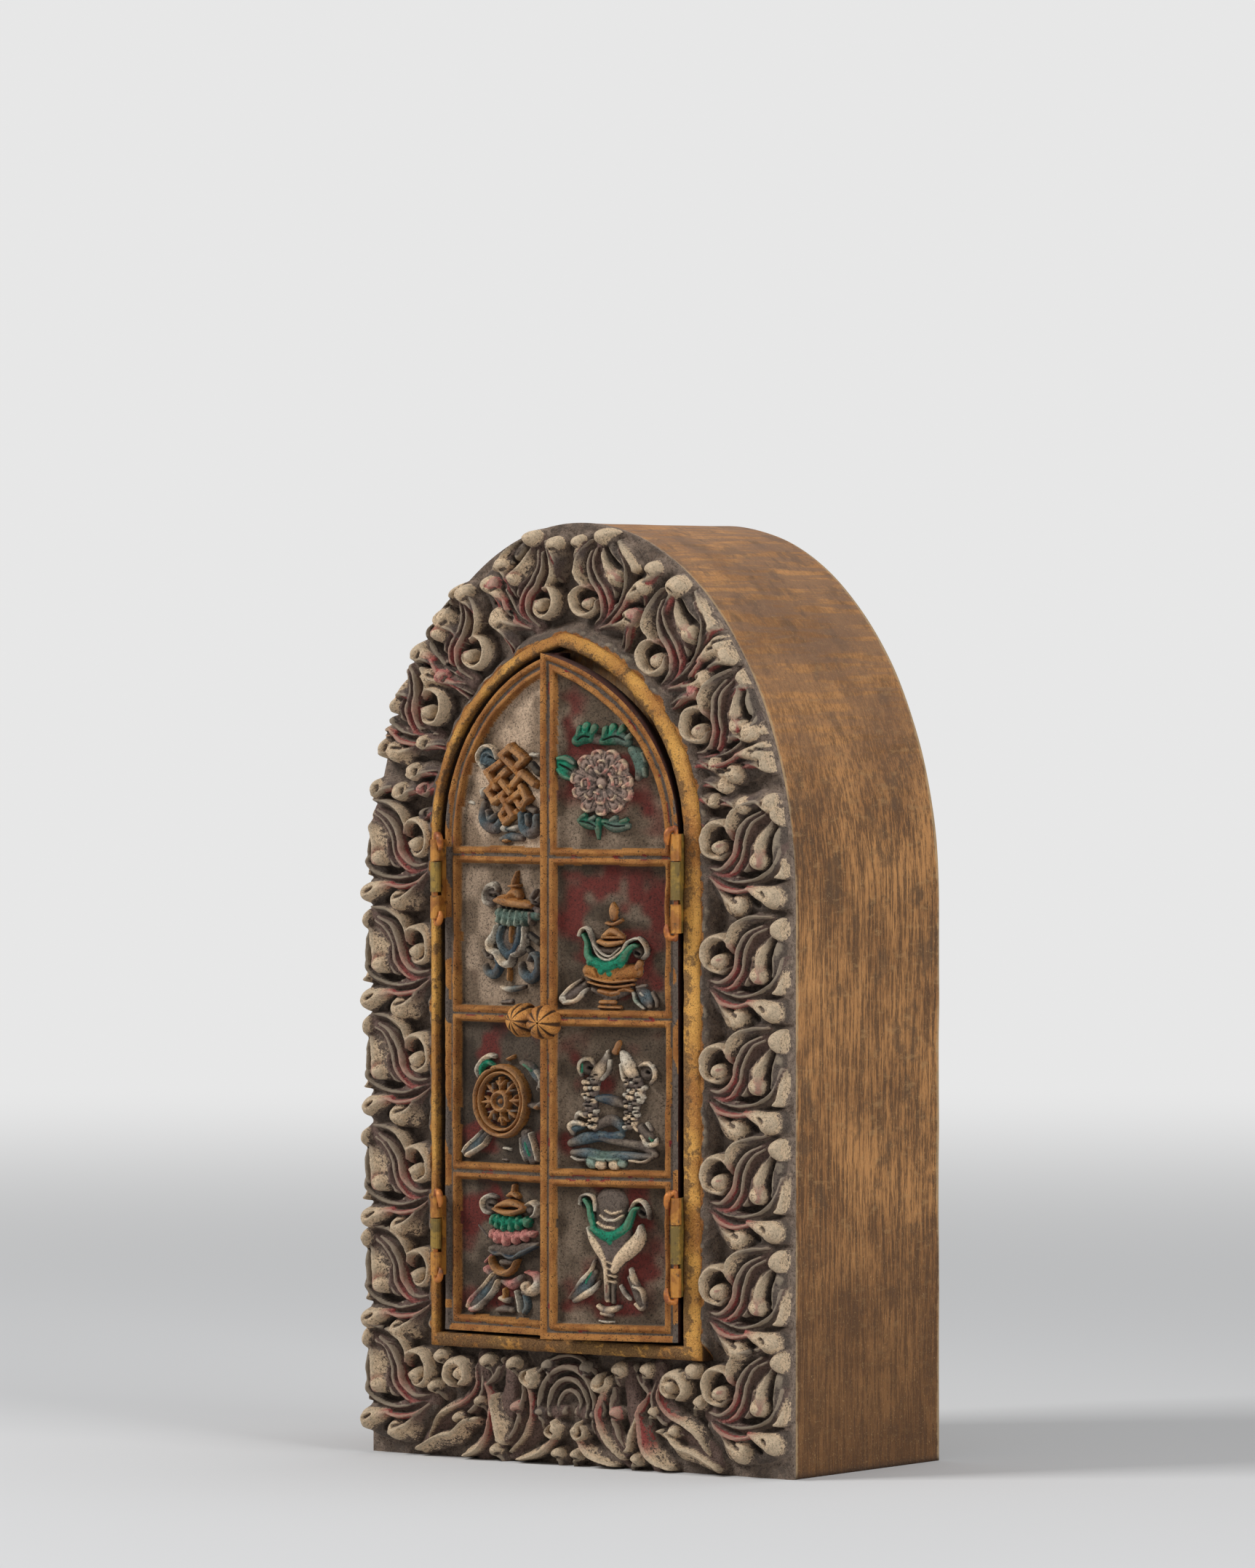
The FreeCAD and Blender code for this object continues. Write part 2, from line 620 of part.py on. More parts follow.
# Symbols as strokes: (x, z) points right of the panel's middle and above its lower edge, widths,
# height above the panel.
SYMBOL_STROKES = {
    "knot": (
        (((6, 30.2), (-1, 37.2), (4.5, 41.7)), (3.2, 3.8, 3.2), 4.4),
        (((3, 42), (12.5, 35.7), (7, 30.6)), (3.2, 3.8, 3.2), 4.2),
        (((2, 30), (-3.5, 34.2), (-8, 30.2), (-2.5, 23.7)), (3,) * 4, 4.0),
        (((-7.5, 24), (-4, 17.9), (4, 24.7), (11, 29.7), (16, 26.2)), (3,) * 5, 3.6),
        (((1, 20), (6, 13.2), (1.5, 9.2), (-1.5, 13.2)), (3,) * 4, 4.2),
        (((3.5, 18.7), (10, 24.2), (14.5, 19.7), (10, 15.7)), (3,) * 4, 3.8),
        (((-5, 38.7), (-10, 40.2), (-13, 36.7), (-11.5, 32.2)), (2, 2.8, 2.8, 2.4), 3.2),
        (((-11, 14), (-10.5, 9.5), (-5, 7.2), (-1.5, 10)), (3, 4, 4, 3), 3.0),
        (((9, 12.7), (10.5, 7.2), (15, 6.7), (16.5, 12)), (3, 4, 4, 3), 3.0),
    ),
    "banner": (
        (((6.4, 54.5), (5.5, 46.5)), (1.2, 6), 4.2),
        (((-8.5, 42.5), (4, 42), (14, 41)), (2.5, 5, 2.5), 5.0),
        (((-4, 47.5), (-8.5, 48), (-9.8, 43)), (2, 2.8, 2.4), 3.4),
        (((13.5, 44), (18, 46.5)), (4, 3), 3.2),
        (((-8.5, 38), (3, 36.2), (15.5, 36.8)), (3.5, 6, 4.5), 3.8),
        (((0.5, 34), (1.5, 19)), (17, 9), 3.0),
        (((-8, 32), (-12.5, 26), (-5.5, 20.5), (0, 16.5), (7, 21), (12, 31.5)),
         (2.4, 3.6, 3, 3.2, 2.8, 2.4), 4.4),
        (((-2.8, 16), (-2.8, 9)), (1.8, 1.8), 3.0),
        (((-15, 20), (-14, 14), (-8, 15)), (2.4, 3.6, 3), 3.0),
        (((6, 18), (10, 13.5), (17, 13.5), (17.5, 20)), (3, 4.6, 4.6, 3), 3.2),
        (((-7, 7.4), (5, 7.2)), (2, 3), 3.0),
    ),
    "wheel": (
        (((-11.4, 21.3), (9, 29.7)), (2, 2), 3.4),
        (((-5.4, 15.3), (3, 35.7)), (2, 2), 3.4),
        (((3, 15.3), (-5.4, 35.7)), (2, 2), 3.4),
        (((9, 21.3), (-11.4, 29.7)), (2, 2), 3.4),
        (((-14, 35), (-12, 41), (-6, 43)), (4, 4.4, 3), 3.2),
        (((8, 42.5), (14, 40), (18.5, 34.5)), (3, 4.8, 4.4), 3.2),
        (((-8.5, 13.5), (-14, 7.5), (-20.5, 3.8)), (3.5, 6, 4), 3.6),
        (((7, 11.5), (11.5, 3.4)), (6, 7.4), 3.4),
        (((12, 22.5), (17, 24)), (3, 3.4), 3.0),
    ),
    "parasol": (
        (((4.5, 54), (4, 47)), (2, 6), 4.0),
        (((-4.5, 44.5), (3.5, 43.5), (11, 44.5)), (2.5, 5.4, 2.5), 5.0),
        (((-6, 38.5), (3.5, 37.2), (14, 39)), (4.5, 6.5, 3.5), 4.6),
        (((-6.5, 33.5), (1, 31.8), (16, 34)), (4, 6, 3), 4.2),
        (((-7, 27.8), (2, 26.4), (17.5, 29.6)), (4, 6, 2.5), 3.8),
        (((-5.5, 24), (-3.5, 18.5), (1.5, 17.4), (8, 23)), (1.2, 3.2, 3.2, 1.2), 4.2),
        (((-4.5, 49), (-9.5, 47), (-9, 42)), (2, 2.8, 2.4), 3.4),
        (((13.5, 46.5), (17, 43), (14, 40.5)), (2.4, 3.2, 2.4), 3.4),
        (((-5.5, 16.5), (-12, 10), (-17.5, 4.5)), (4.5, 6.5, 6), 3.6),
        (((3, 13.5), (10, 15), (16.5, 11)), (4.5, 6.5, 5), 3.4),
        (((7, 11), (11, 2.6)), (3, 5), 3.0),
        (((-3, 3.2), (0, 9), (0, 16.5)), (5, 3, 2), 3.0),
    ),
    "lotus": (
        (((-6, 46.5), (-10, 49), (-13.5, 46), (-10, 42.5)), (3, 3.8, 3.8, 3), 3.4),
        (((-2.5, 42.5), (-0.5, 47.5), (7, 42)), (4, 4.4, 3), 3.4),
        (((-14, 28), (-18, 31), (-21, 32.5)), (4, 7, 5), 3.2),
        (((6.5, 36), (10, 38.5), (12, 34), (10, 30)), (3, 4, 3.6, 2.5), 3.0),
        (((-13.5, 12.5), (-5.5, 6), (8, 9.5)), (2.5, 5, 3), 3.2),
        (((-3.5, 16), (-5.5, 2.6)), (3, 2.4), 3.2),
    ),
    "vase": (
        (((1, 43.5), (1.3, 36)), (1.5, 5), 4.4),
        (((1, 37), (0.6, 26)), (2.5, 10), 4.6),
        (((-13, 30), (-8.5, 26), (-2, 19.5), (5, 22.5), (10, 27.5), (15, 23)),
         (3, 5.5, 9.5, 8, 4, 3), 5.2),
        (((-11, 15.4), (11.5, 15.6)), (12, 12), 4.4),
        (((-8.5, 7.8), (9.5, 8.2)), (5, 5), 4.0),
        (((-5.5, 2.8), (4, 2.8)), (4, 4), 3.6),
        (((-9.5, 10), (-14, 7), (-19.5, 3.6)), (3, 4.5, 4.5), 3.4),
        (((11, 8.5), (16, 4)), (6, 6), 3.2),
    ),
    "fishes": (
        (((-1.5, 48), (-5.5, 40), (-9.5, 34), (-7.5, 17.5)), (2, 5.5, 6, 3.5), 4.6),
        (((-9, 23), (-17, 15.5)), (3, 6), 3.6),
        (((4.5, 47.5), (6, 40), (11, 33), (7.5, 17)), (3, 7, 7, 4), 4.8),
        (((8.5, 20), (13, 14.5), (18.5, 11)), (3, 4, 5.4), 3.6),
        (((-6.5, 43), (-12, 43), (-13, 37.5)), (2, 3, 2.4), 3.2),
        (((12, 42.5), (17.5, 41), (16.5, 35.5)), (2, 3, 2.4), 3.2),
        (((-7.5, 29), (6.5, 26)), (4, 4), 3.4),
        (((-6.5, 18), (0, 19.5), (6, 18)), (4.4, 5, 4.4), 3.2),
        (((-16, 9), (-9, 12.4), (9, 11.4), (18, 6.5)), (4.4, 3.4, 3.4, 3), 3.4),
        (((-15, 5.4), (-4, 4), (8, 4.6), (17.5, 5.6)), (3.6, 6, 5.4, 3), 4.0),
        (((1, 46.5), (3, 51.5)), (2.8, 2.8), 3.4),
    ),
    "conch": (
        (((-12, 50), (-8.5, 44), (-4, 38), (0, 35.5), (5, 38.5), (9, 44.5), (14, 46.5)),
         (3, 3, 4, 7.5, 4.5, 3, 3), 5.4),
        (((0.5, 49), (0.5, 38)), (16, 20), 4.2),
        (((0.5, 38), (-0.5, 26), (-1, 18), (-1.5, 8)), (23, 13, 6, 3), 4.6),
        (((-5.5, 5.6), (4.5, 5.6)), (4, 4), 3.4),
        (((-6, 23), (-11, 17), (-17, 11)), (4, 6, 5), 3.6),
        (((4.5, 17.5), (8.5, 10)), (3, 3), 3.2),
        (((8.5, 22), (11.5, 16), (13.5, 8)), (3, 4.5, 4.5), 3.4),
    ),
}
FLOWER = ((-3.5, 26.0), 6.2, 5.0)
PETAL_COUNT = 7
PETALS = (8.6, 4.4, 4.2)
BOSS_SIDES = 6
HUB_SIDES = 8
RIM_SIDES = 16
HUB = ((-1.2, 25.5), 4.4, 4.8)
RIM = (14.4, 11.4, 4.5)


def make_symbol(name, factor):
    """Symbol at a scale, its back at Y = 0 and its front towards -Y."""
    solids = []
    for path, widths, height in SYMBOL_STROKES[name]:
        points = [(factor * x, factor * z) for x, z in path]
        solids.append(ridge(points, [factor * width for width in widths], 0.0, -height))
    if name == "lotus":
        solids += flower(factor)
    if name == "wheel":
        solids += rim_and_hub(factor)
    return solids[0].fuse(solids[1:])


def flower(factor):
    """Centre of the lotus and its ring of petals."""
    (x, z), radius, height = FLOWER
    reach, petal, petal_height = PETALS
    solids = [boss(factor * x, factor * z, factor * radius, 0.0, -height, BOSS_SIDES)]
    for turn in (2 * math.pi * index / PETAL_COUNT for index in range(PETAL_COUNT)):
        petal_x = factor * (x + reach * math.cos(turn))
        petal_z = factor * (z + reach * math.sin(turn))
        solids.append(boss(petal_x, petal_z, factor * petal, 0.0, -petal_height, BOSS_SIDES))
    return solids


def rim_and_hub(factor):
    """Rim and hub of the wheel."""
    (x, z), radius, height = HUB
    outer, inner, rim_height = RIM
    back = Vec(factor * x, 0, factor * z)
    front = back - Vec(0, rim_height, 0)
    rim = bar(back, front, factor * outer, RIM_SIDES).cut(bar(back, front, factor * inner, RIM_SIDES))
    return [rim, boss(factor * x, factor * z, factor * radius, 0.0, -height, HUB_SIDES)]


SYMBOLS = {
    "right": ("lotus", "vase", "fishes", "conch"),
    "left": ("knot", "banner", "wheel", "parasol"),
}
SIDES = {"right": 1, "left": -1}


def panel_bottoms():
    """Lower edges of the panels, from the top panel down."""
    heights = [DOORWAY_BOTTOM + FOOT_GAP + STILE]
    heights += [height + RAIL / 2 for height in rail_heights()]
    return heights[::-1]


def symbol_scale():
    """Size of the symbols against the panel that they are drawn for."""
    wide = DOOR_HALF - MEETING_EDGE - 2 * STILE
    bottoms = panel_bottoms()
    tall = bottoms[1] - bottoms[2] - RAIL
    return min(wide / DRAWN_WIDTH, tall / DRAWN_HEIGHT)


def door_nodes(name):
    """All solids of one door, turned to the rest position."""
    side = SIDES[name]

    def placed(shape):
        return swung(on_side(shape, side), side)

    nodes = {
        name + "_board": placed(make_board(side)),
        name + "_knob": placed(make_knob(KNOB_INSETS[name])),
    }
    for level, share in zip(("lower", "upper"), HINGE_SHARES):
        nodes[name + "_" + level + "_door_leaf"] = placed(make_door_leaf(side, share))
        nodes[name + "_" + level + "_pin"] = placed(make_hinge_pin(side, share))
    middle = (DOOR_HALF + MEETING_EDGE) / 2
    factor = symbol_scale()
    for label, bottom in zip(SYMBOLS[name], panel_bottoms()):
        symbol = make_symbol(label, factor)
        symbol.translate(Vec(DOOR_X + side * middle, PANEL_FLOOR, bottom))
        nodes[label] = swung(symbol, side)
    return nodes


def frame_leaf_nodes():
    """Hinge leaves that stay with the frame."""
    nodes = {}
    for name, side in SIDES.items():
        for level, share in zip(("lower", "upper"), HINGE_SHARES):
            leaf = make_frame_leaf(side, share)
            nodes[name + "_" + level + "_frame_leaf"] = on_side(leaf, side)
    return nodes


def main():
    nodes = {"casing": make_casing(), "door_frame": make_door_frame()}
    nodes.update(make_borders())
    nodes.update(frame_leaf_nodes())
    nodes.update(door_nodes("right"))
    nodes.update(door_nodes("left"))
    os.makedirs("parts", exist_ok=True)
    for name, shape in nodes.items():
        print(name, shape.isValid(), len(shape.Solids), len(shape.Faces), round(shape.Volume))
        shape.exportStep("parts/" + name + ".step")


main()
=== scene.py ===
"""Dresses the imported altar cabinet: carved border, painted doors, symbols, paint and light."""

import math

import bpy
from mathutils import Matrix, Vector
import numpy as np


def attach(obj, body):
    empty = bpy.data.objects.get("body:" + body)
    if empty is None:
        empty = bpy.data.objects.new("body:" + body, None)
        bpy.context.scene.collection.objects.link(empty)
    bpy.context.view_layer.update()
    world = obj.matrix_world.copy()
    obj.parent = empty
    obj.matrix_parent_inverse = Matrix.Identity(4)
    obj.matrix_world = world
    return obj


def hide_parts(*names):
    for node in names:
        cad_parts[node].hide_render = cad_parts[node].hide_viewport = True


MM = 0.001

# Sizes of the model in millimetres, as in the part's source.
BLOCK_WIDTH = 211.0
BLOCK_DEPTH = 102.0
BLOCK_HEIGHT = 380.0
ARCH_RISE = 152.0
BLOCK_SPRING = BLOCK_HEIGHT - ARCH_RISE
GROUND_Y = -BLOCK_DEPTH / 2
DOORWAY_X = -3.2
DOORWAY_HALF = 61.5
DOORWAY_BOTTOM = 51.5
DOORWAY_SPRING = 253.0
DOORWAY_APEX = 330.0
FRAME_X = -1.3
FRAME_BAR = 6.0
FRAME_PROUD = 11.7
REBATE_DEPTH = 2.2
LEDGE = 8.0
NICHE_DEPTH = 82.0
DOOR_X = -1.8
DOOR_THICK = 12.0
DOOR_RECESS = 1.0
DOOR_GAP = 2.1
FOOT_GAP = 1.2
MEETING_EDGE = 1.0
EDGE_BEVEL = 2.6
RIGHT_AJAR = 17.0
LEFT_AJAR = 3.0
STILE = 6.2
RAIL = 6.6
RAIL_HEIGHTS = (117.49, 181.47, 245.95)
PANEL_DEPTH = 4.2
BEAD_OUTER = 2.2
BEAD_INNER = 2.7
AXIS_PROUD = 3.8
AXIS_REACH = 60.2
HINGE_LENGTHS = {"right": 39.5, "left": 32.0}
HINGE_MIDDLES = {"lower": 90.99, "upper": 235.87}
KNOB_INSETS = {"right": 4.7, "left": 9.7}
KNOB_HEIGHT = 179.05
KNOB_LIFT = 1.0
RELIEF = 12.8
SIDES = {"right": 1, "left": -1}

FRAME_Y = GROUND_Y - FRAME_PROUD
DOOR_FRONT = FRAME_Y + DOOR_RECESS
DOOR_BACK = DOOR_FRONT + DOOR_THICK
DOOR_HALF = DOORWAY_HALF - DOOR_GAP
AXIS_Y = FRAME_Y - AXIS_PROUD
PANEL_FLOOR = DOOR_FRONT + PANEL_DEPTH
ARCH_SHIFT = ((DOORWAY_APEX - DOORWAY_SPRING) ** 2 - DOORWAY_HALF ** 2) / (2 * DOORWAY_HALF)


def linear(red, green, blue):
    """Linear colour from the 0 to 255 values of a screen colour."""
    return np.array([(value / 255.0) ** 2.2 for value in (red, green, blue)])


# Paint colours by letter.
TONES = {
    "c": linear(232, 202, 166),
    "p": linear(180, 92, 86),
    "m": linear(124, 101, 91),
    "g": linear(106, 93, 83),
    "d": linear(44, 38, 35),
    "o": linear(186, 130, 62),
    "e": linear(32, 132, 100),
    "b": linear(88, 102, 106),
    "w": linear(214, 202, 182),
    "r": linear(140, 52, 48),
    "k": linear(88, 52, 46),
    "s": linear(112, 98, 90),
    "f": linear(206, 132, 122),
    "t": linear(92, 112, 100),
    "l": linear(142, 160, 144),
    "n": linear(56, 72, 84),
    "v": linear(42, 104, 80),
    "q": linear(160, 136, 122),
}

# Starts of the random draws.
UNIT_SEED = 100
FLOWER_SEED = 91
SCALE_SEED = 95
SYMBOL_SEED = 200
NAIL_SEED = 300

GRID_SPACING = {"border": (0.9, 0.46), "door": (0.9, 0.54), "symbol": (0.8, 0.36)}

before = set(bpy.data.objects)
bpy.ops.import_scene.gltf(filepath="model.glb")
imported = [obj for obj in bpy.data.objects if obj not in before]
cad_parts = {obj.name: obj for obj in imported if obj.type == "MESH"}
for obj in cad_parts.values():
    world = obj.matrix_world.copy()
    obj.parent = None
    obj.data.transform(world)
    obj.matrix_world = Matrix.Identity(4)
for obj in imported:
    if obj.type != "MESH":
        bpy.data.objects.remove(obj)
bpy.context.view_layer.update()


def grid_spacing(kind):
    """Distance between the points of a carved grid."""
    quick, full = GRID_SPACING[kind]
    return full


def noise(x, y, z, size, seed):
    """Smooth random values from -1 to 1 over points, with lumps of about that size."""
    table = np.random.default_rng(seed).uniform(-1.0, 1.0, 4096)
    cells = []
    shares = []
    for value in (x, y, z):
        scaled = np.asarray(value, float) / size
        cell = np.floor(scaled).astype(np.int64)
        share = scaled - cell
        cells.append(cell)
        shares.append(share * share * (3 - 2 * share))
    total = 0.0
    for corner in range(8):
        steps = (corner & 1, corner >> 1 & 1, corner >> 2 & 1)
        i, j, k = [cell + step for cell, step in zip(cells, steps)]
        value = table[(i * 73856093 ^ j * 19349663 ^ k * 83492791) & 4095]
        for share, step in zip(shares, steps):
            value = value * (share if step else 1 - share)
        total = total + value
    return total


def smooth_step(value, low, high):
    """0 below low, 1 above high, with a smooth change between."""
    share = np.clip((value - low) / (high - low), 0.0, 1.0)
    return share * share * (3 - 2 * share)


def blurred(grid, passes):
    """Grid of values after that many small averaging passes along both ways."""
    result = grid
    for _ in range(passes):
        for axis in (0, 1):
            count = result.shape[axis]
            before = np.concatenate([result.take([0], axis), result.take(range(count - 1), axis)], axis)
            after = np.concatenate([result.take(range(1, count), axis), result.take([-1], axis)], axis)
            result = (before + 2 * result + after) / 4
    return result


def spline(rows, samples):
    """Rows of values on a smooth curve through the given rows."""
    rows = np.array(rows, float)
    padded = np.vstack([2 * rows[0] - rows[1], rows, 2 * rows[-1] - rows[-2]])
    places = np.linspace(0, len(rows) - 1 - 1e-9, samples)
    index = places.astype(int)
    t = (places - index)[:, None]
    a, b, c, d = [padded[index + step] for step in range(4)]
    start = 2 * b + (c - a) * t + (2 * a - 5 * b + 4 * c - d) * t ** 2
    return 0.5 * (start + (3 * b - a - 3 * c + d) * t ** 3)


def per_point(value, path):
    """A value for each point of a path; one number stands for all of them."""
    return [value] * len(path) if np.isscalar(value) else value


# Cross-sections of a stroke: height share at places from one edge (-1) to the other (1).
SECTIONS = {
    "round": ((-1, 0), (-0.96, 0.3), (-0.85, 0.56), (-0.6, 0.83), (-0.3, 0.96), (0, 1),
              (0.3, 0.96), (0.6, 0.83), (0.85, 0.56), (0.96, 0.3), (1, 0)),
    "left": ((-1, 0), (-0.9, 0.28), (-0.5, 0.46), (0, 0.66), (0.45, 0.92), (0.7, 1), (0.9, 0.75), (1, 0)),
    "right": ((-1, 0), (-0.9, 0.75), (-0.7, 1), (-0.45, 0.92), (0, 0.66), (0.5, 0.46), (0.9, 0.28), (1, 0)),
    "gouge": ((-1, 0), (-0.6, 0.45), (0, 1), (0.6, 0.45), (1, 0)),
}


def mix_in(grid, near, value, over):
    """Blend a value into the near points of a paint grid."""
    share = over[:, None] if grid.ndim == 3 else over
    grid[near] = grid[near] * (1 - share) + value * share


class Field:
    """Heights and paint over a grid of (x, z) points, in millimetres."""

    def __init__(self, x, z, tone, ground):
        self.x = x
        self.z = z
        self.height = np.full(x.shape, float(ground))
        self.tone = np.zeros(x.shape + (3,)) + TONES[tone]
        self.crest = np.full(x.shape, 0.5)
        self.gold = np.zeros(x.shape)

    def spread(self, path, widths, heights, mirror):
        """Points near a stroke, with their height on it, place along it and across it."""
        sizes = zip(path, per_point(widths, path), per_point(heights, path))
        rows = [(x, z, width, height) for (x, z), width, height in sizes]
        line = spline(rows, 8 * len(rows))
        half = np.maximum(line[:, 2] / 2, 0.15)
        reach = half.max() + 0.2
        low = line[:, :2].min(0) - reach
        high = line[:, :2].max(0) + reach
        near = (self.x > low[0]) & (self.x < high[0]) & (self.z > low[1]) & (self.z < high[1])
        if not near.any():
            return None
        start = line[:-1, :2]
        step = line[1:, :2] - start
        dx = self.x[near][:, None] - start[:, 0]
        dz = self.z[near][:, None] - start[:, 1]
        length = np.maximum((step ** 2).sum(1), 1e-9)
        share = np.clip((dx * step[:, 0] + dz * step[:, 1]) / length, 0, 1)
        off_x = dx - share * step[:, 0]
        off_z = dz - share * step[:, 1]
        ratio = np.hypot(off_x, off_z) / (half[:-1] * (1 - share) + half[1:] * share)
        best = ratio.argmin(1)
        rows_at = np.arange(len(best))
        share = share[rows_at, best]
        across = ratio[rows_at, best]
        turn = step[best, 0] * off_z[rows_at, best] - step[best, 1] * off_x[rows_at, best]
        across = across * np.where(turn * mirror < 0, -1, 1)
        along = (best + share) / (len(line) - 1)
        top = line[best, 3] * (1 - share) + line[best + 1, 3] * share
        return near, top, along, across

    def noise(self, size, seed):
        """Smooth random values over the points."""
        return noise(self.x, self.x * 0, self.z, size, seed)

    def lay(self, near, rise, colour, crest, gold, blend):
        """Raise the near points and paint those that rise, fading in over the blend's heights."""
        old = self.height[near]
        over = smooth_step(rise - old, *blend)
        self.height[near] = np.maximum(old, rise)
        for grid, value in ((self.tone, colour), (self.crest, crest), (self.gold, gold)):
            mix_in(grid, near, value, over)

    def stroke(self, path, widths, heights, section, tones, mirror=1, gold=0.0):
        """Raise a carved stroke and paint it with the tones along its length."""
        found = self.spread(path, widths, heights, mirror)
        if found is None:
            return
        near, top, along, across = found
        places, shares = zip(*SECTIONS[section])
        share = np.interp(across, places, shares) * (np.abs(across) < 1)
        keys = np.linspace(0, 1, len(tones)) if len(tones) > 1 else np.array([0.0])
        colours = np.array([TONES[tone] for tone in tones])
        colour = np.stack([np.interp(along, keys, colours[:, band]) for band in range(3)], -1)
        self.lay(near, top * share, colour, share, gold, (-0.15, 0.35))

    def bar(self, start, end, width, heights, tone, gold):
        """Straight flat band with square ends."""
        start = np.array(start, float)
        way = np.array(end, float) - start
        length = np.hypot(*way)
        way = way / length
        dx = self.x - start[0]
        dz = self.z - start[1]
        along = dx * way[0] + dz * way[1]
        across = dx * way[1] - dz * way[0]
        inside = np.minimum(width / 2 - np.abs(across), np.minimum(along, length - along) + width / 2)
        near = inside > 0
        share = np.clip(along[near] / length, 0, 1)
        top = heights[0] * (1 - share) + heights[1] * share
        edge = np.clip(inside[near] / 0.45, 0, 1)
        self.lay(near, top * (0.35 + 0.65 * edge), TONES[tone], 0.45 + 0.55 * edge, gold, (-0.1, 0.2))

    def ball(self, x, z, radius, height, tones, gold=0.0):
        """Round boss."""
        self.stroke([(x - 0.05, z), (x + 0.05, z)], 2 * radius, height, "round", tones, 1, gold)

    def gouge(self, path, widths, depth, mirror, tone):
        """Cut a hollow along a path, no deeper than just over the ground."""
        found = self.spread(path, widths, depth, mirror)
        if found is None:
            return
        near, top, _, across = found
        places, shares = zip(*SECTIONS["gouge"])
        cut = top * np.interp(across, places, shares) * (np.abs(across) < 1)
        old = self.height[near]
        self.height[near] = np.maximum(np.minimum(old, 0.4), old - cut)
        self.crest[near] = self.crest[near] - 0.5 * cut / max(depth, 0.1)
        mix_in(self.tone, near, TONES[tone], smooth_step(cut / max(depth, 0.1), 0.15, 0.6))


def attributes(field, spacing):
    """Values that the paint follows, from a field's heights."""
    near_passes = int((1.6 / spacing) ** 2)
    wide_passes = int((4.0 / spacing) ** 2)
    lift = field.height - blurred(field.height, near_passes)
    # How far each point lies below its surroundings; it sets the painted shade in recesses.
    shade_depth = blurred(field.height, wide_passes) - field.height
    return {
        "tone": field.tone,
        "crest": field.crest,
        "gold": field.gold,
        "lift": np.clip(0.5 + lift / 2.4, 0, 1),
        "shade_depth": np.clip(shade_depth / 5.0, 0, 1),
    }


def new_piece(name, points, faces, values, body, material):
    """Mesh object from points in millimetres, with its paint values, riding on a body."""
    mesh = bpy.data.meshes.new(name)
    mesh.from_pydata((points * MM).tolist(), [], faces.tolist() if hasattr(faces, "tolist") else faces)
    for key, value in values.items():
        value = np.asarray(value, float)
        if value.ndim == 2:
            layer = mesh.attributes.new(key, "FLOAT_COLOR", "POINT")
            full = np.ones((len(value), 4))
            full[:, :3] = value
            layer.data.foreach_set("color", full.ravel())
        else:
            layer = mesh.attributes.new(key, "FLOAT", "POINT")
            layer.data.foreach_set("value", value.ravel())
    mesh.polygons.foreach_set("use_smooth", [True] * len(mesh.polygons))
    mesh.validate()
    mesh.update()
    piece = bpy.data.objects.new(name, mesh)
    bpy.context.scene.collection.objects.link(piece)
    mesh.materials.append(material)
    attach(piece, body)
    return piece


def grid_faces(rows, columns, flip):
    """Corner numbers of the cells of a grid of points."""
    first = (np.arange(rows - 1)[:, None] * columns + np.arange(columns - 1)).ravel()
    cells = np.stack([first, first + 1, first + columns + 1, first + columns], 1)
    return cells[:, ::-1] if flip else cells


def border_loop(rows, columns):
    """Point numbers round the edge of a grid."""
    bottom = list(range(columns))
    right = [row * columns + columns - 1 for row in range(1, rows)]
    top = [(rows - 1) * columns + column for column in range(columns - 2, -1, -1)]
    left = [row * columns for row in range(rows - 2, 0, -1)]
    return np.array(bottom + right + top + left)


def flat_values(values):
    """Grid values as one row of values a point."""
    result = {}
    for key, value in values.items():
        result[key] = value.reshape(-1, 3) if value.ndim == 3 else value.ravel()
    return result


def edge_points(points):
    """Copy of the points round the edge of a grid."""
    return points.reshape(-1, 3)[border_loop(*points.shape[:2])]


def edge_values(key, edge, cap):
    """Paint values for the walls round a relief, from those along its edge."""
    if key == "crest":
        return edge * 0.4
    if cap and key == "gold":
        return edge * 0
    if cap and key == "tone":
        return edge * 0 + TONES["k"]
    return edge


def relief_piece(name, points, values, back, body, material, flip=False, cap=False):
    """Piece from a grid of front points, with walls from its edge to the back points."""
    rows, columns = points.shape[:2]
    flat = points.reshape(-1, 3)
    loop = border_loop(rows, columns)
    near = len(flat) + np.arange(len(loop))
    far = near + len(loop)
    walls = np.stack([near, far, np.roll(far, -1), np.roll(near, -1)], 1)
    if flip:
        walls = walls[:, ::-1]
    faces = np.vstack([grid_faces(rows, columns, flip), walls]).tolist()
    if cap:
        faces.append(far.tolist() if flip else far[::-1].tolist())
    all_values = {}
    for key, value in flat_values(values).items():
        edge = edge_values(key, value[loop], cap)
        all_values[key] = np.concatenate([value, edge, edge])
    piece = new_piece(name, np.vstack([flat, flat[loop], back]), faces, all_values, body, material)
    if cap:
        piece.data.materials.append(wood_paint)
        piece.data.polygons[len(piece.data.polygons) - 1].material_index = 1
    return piece


def cut_piece(name, points, values, marked, body, material, flip):
    """Piece from the cells of a grid that touch a marked point."""
    rows, columns = points.shape[:2]
    cells = grid_faces(rows, columns, flip)
    cells = cells[marked.ravel()[cells].any(1)]
    used = np.unique(cells)
    place = np.zeros(rows * columns, int)
    place[used] = np.arange(len(used))
    values = {key: value[used] for key, value in flat_values(values).items()}
    return new_piece(name, points.reshape(-1, 3)[used], place[cells], values, body, material)


# Outlines

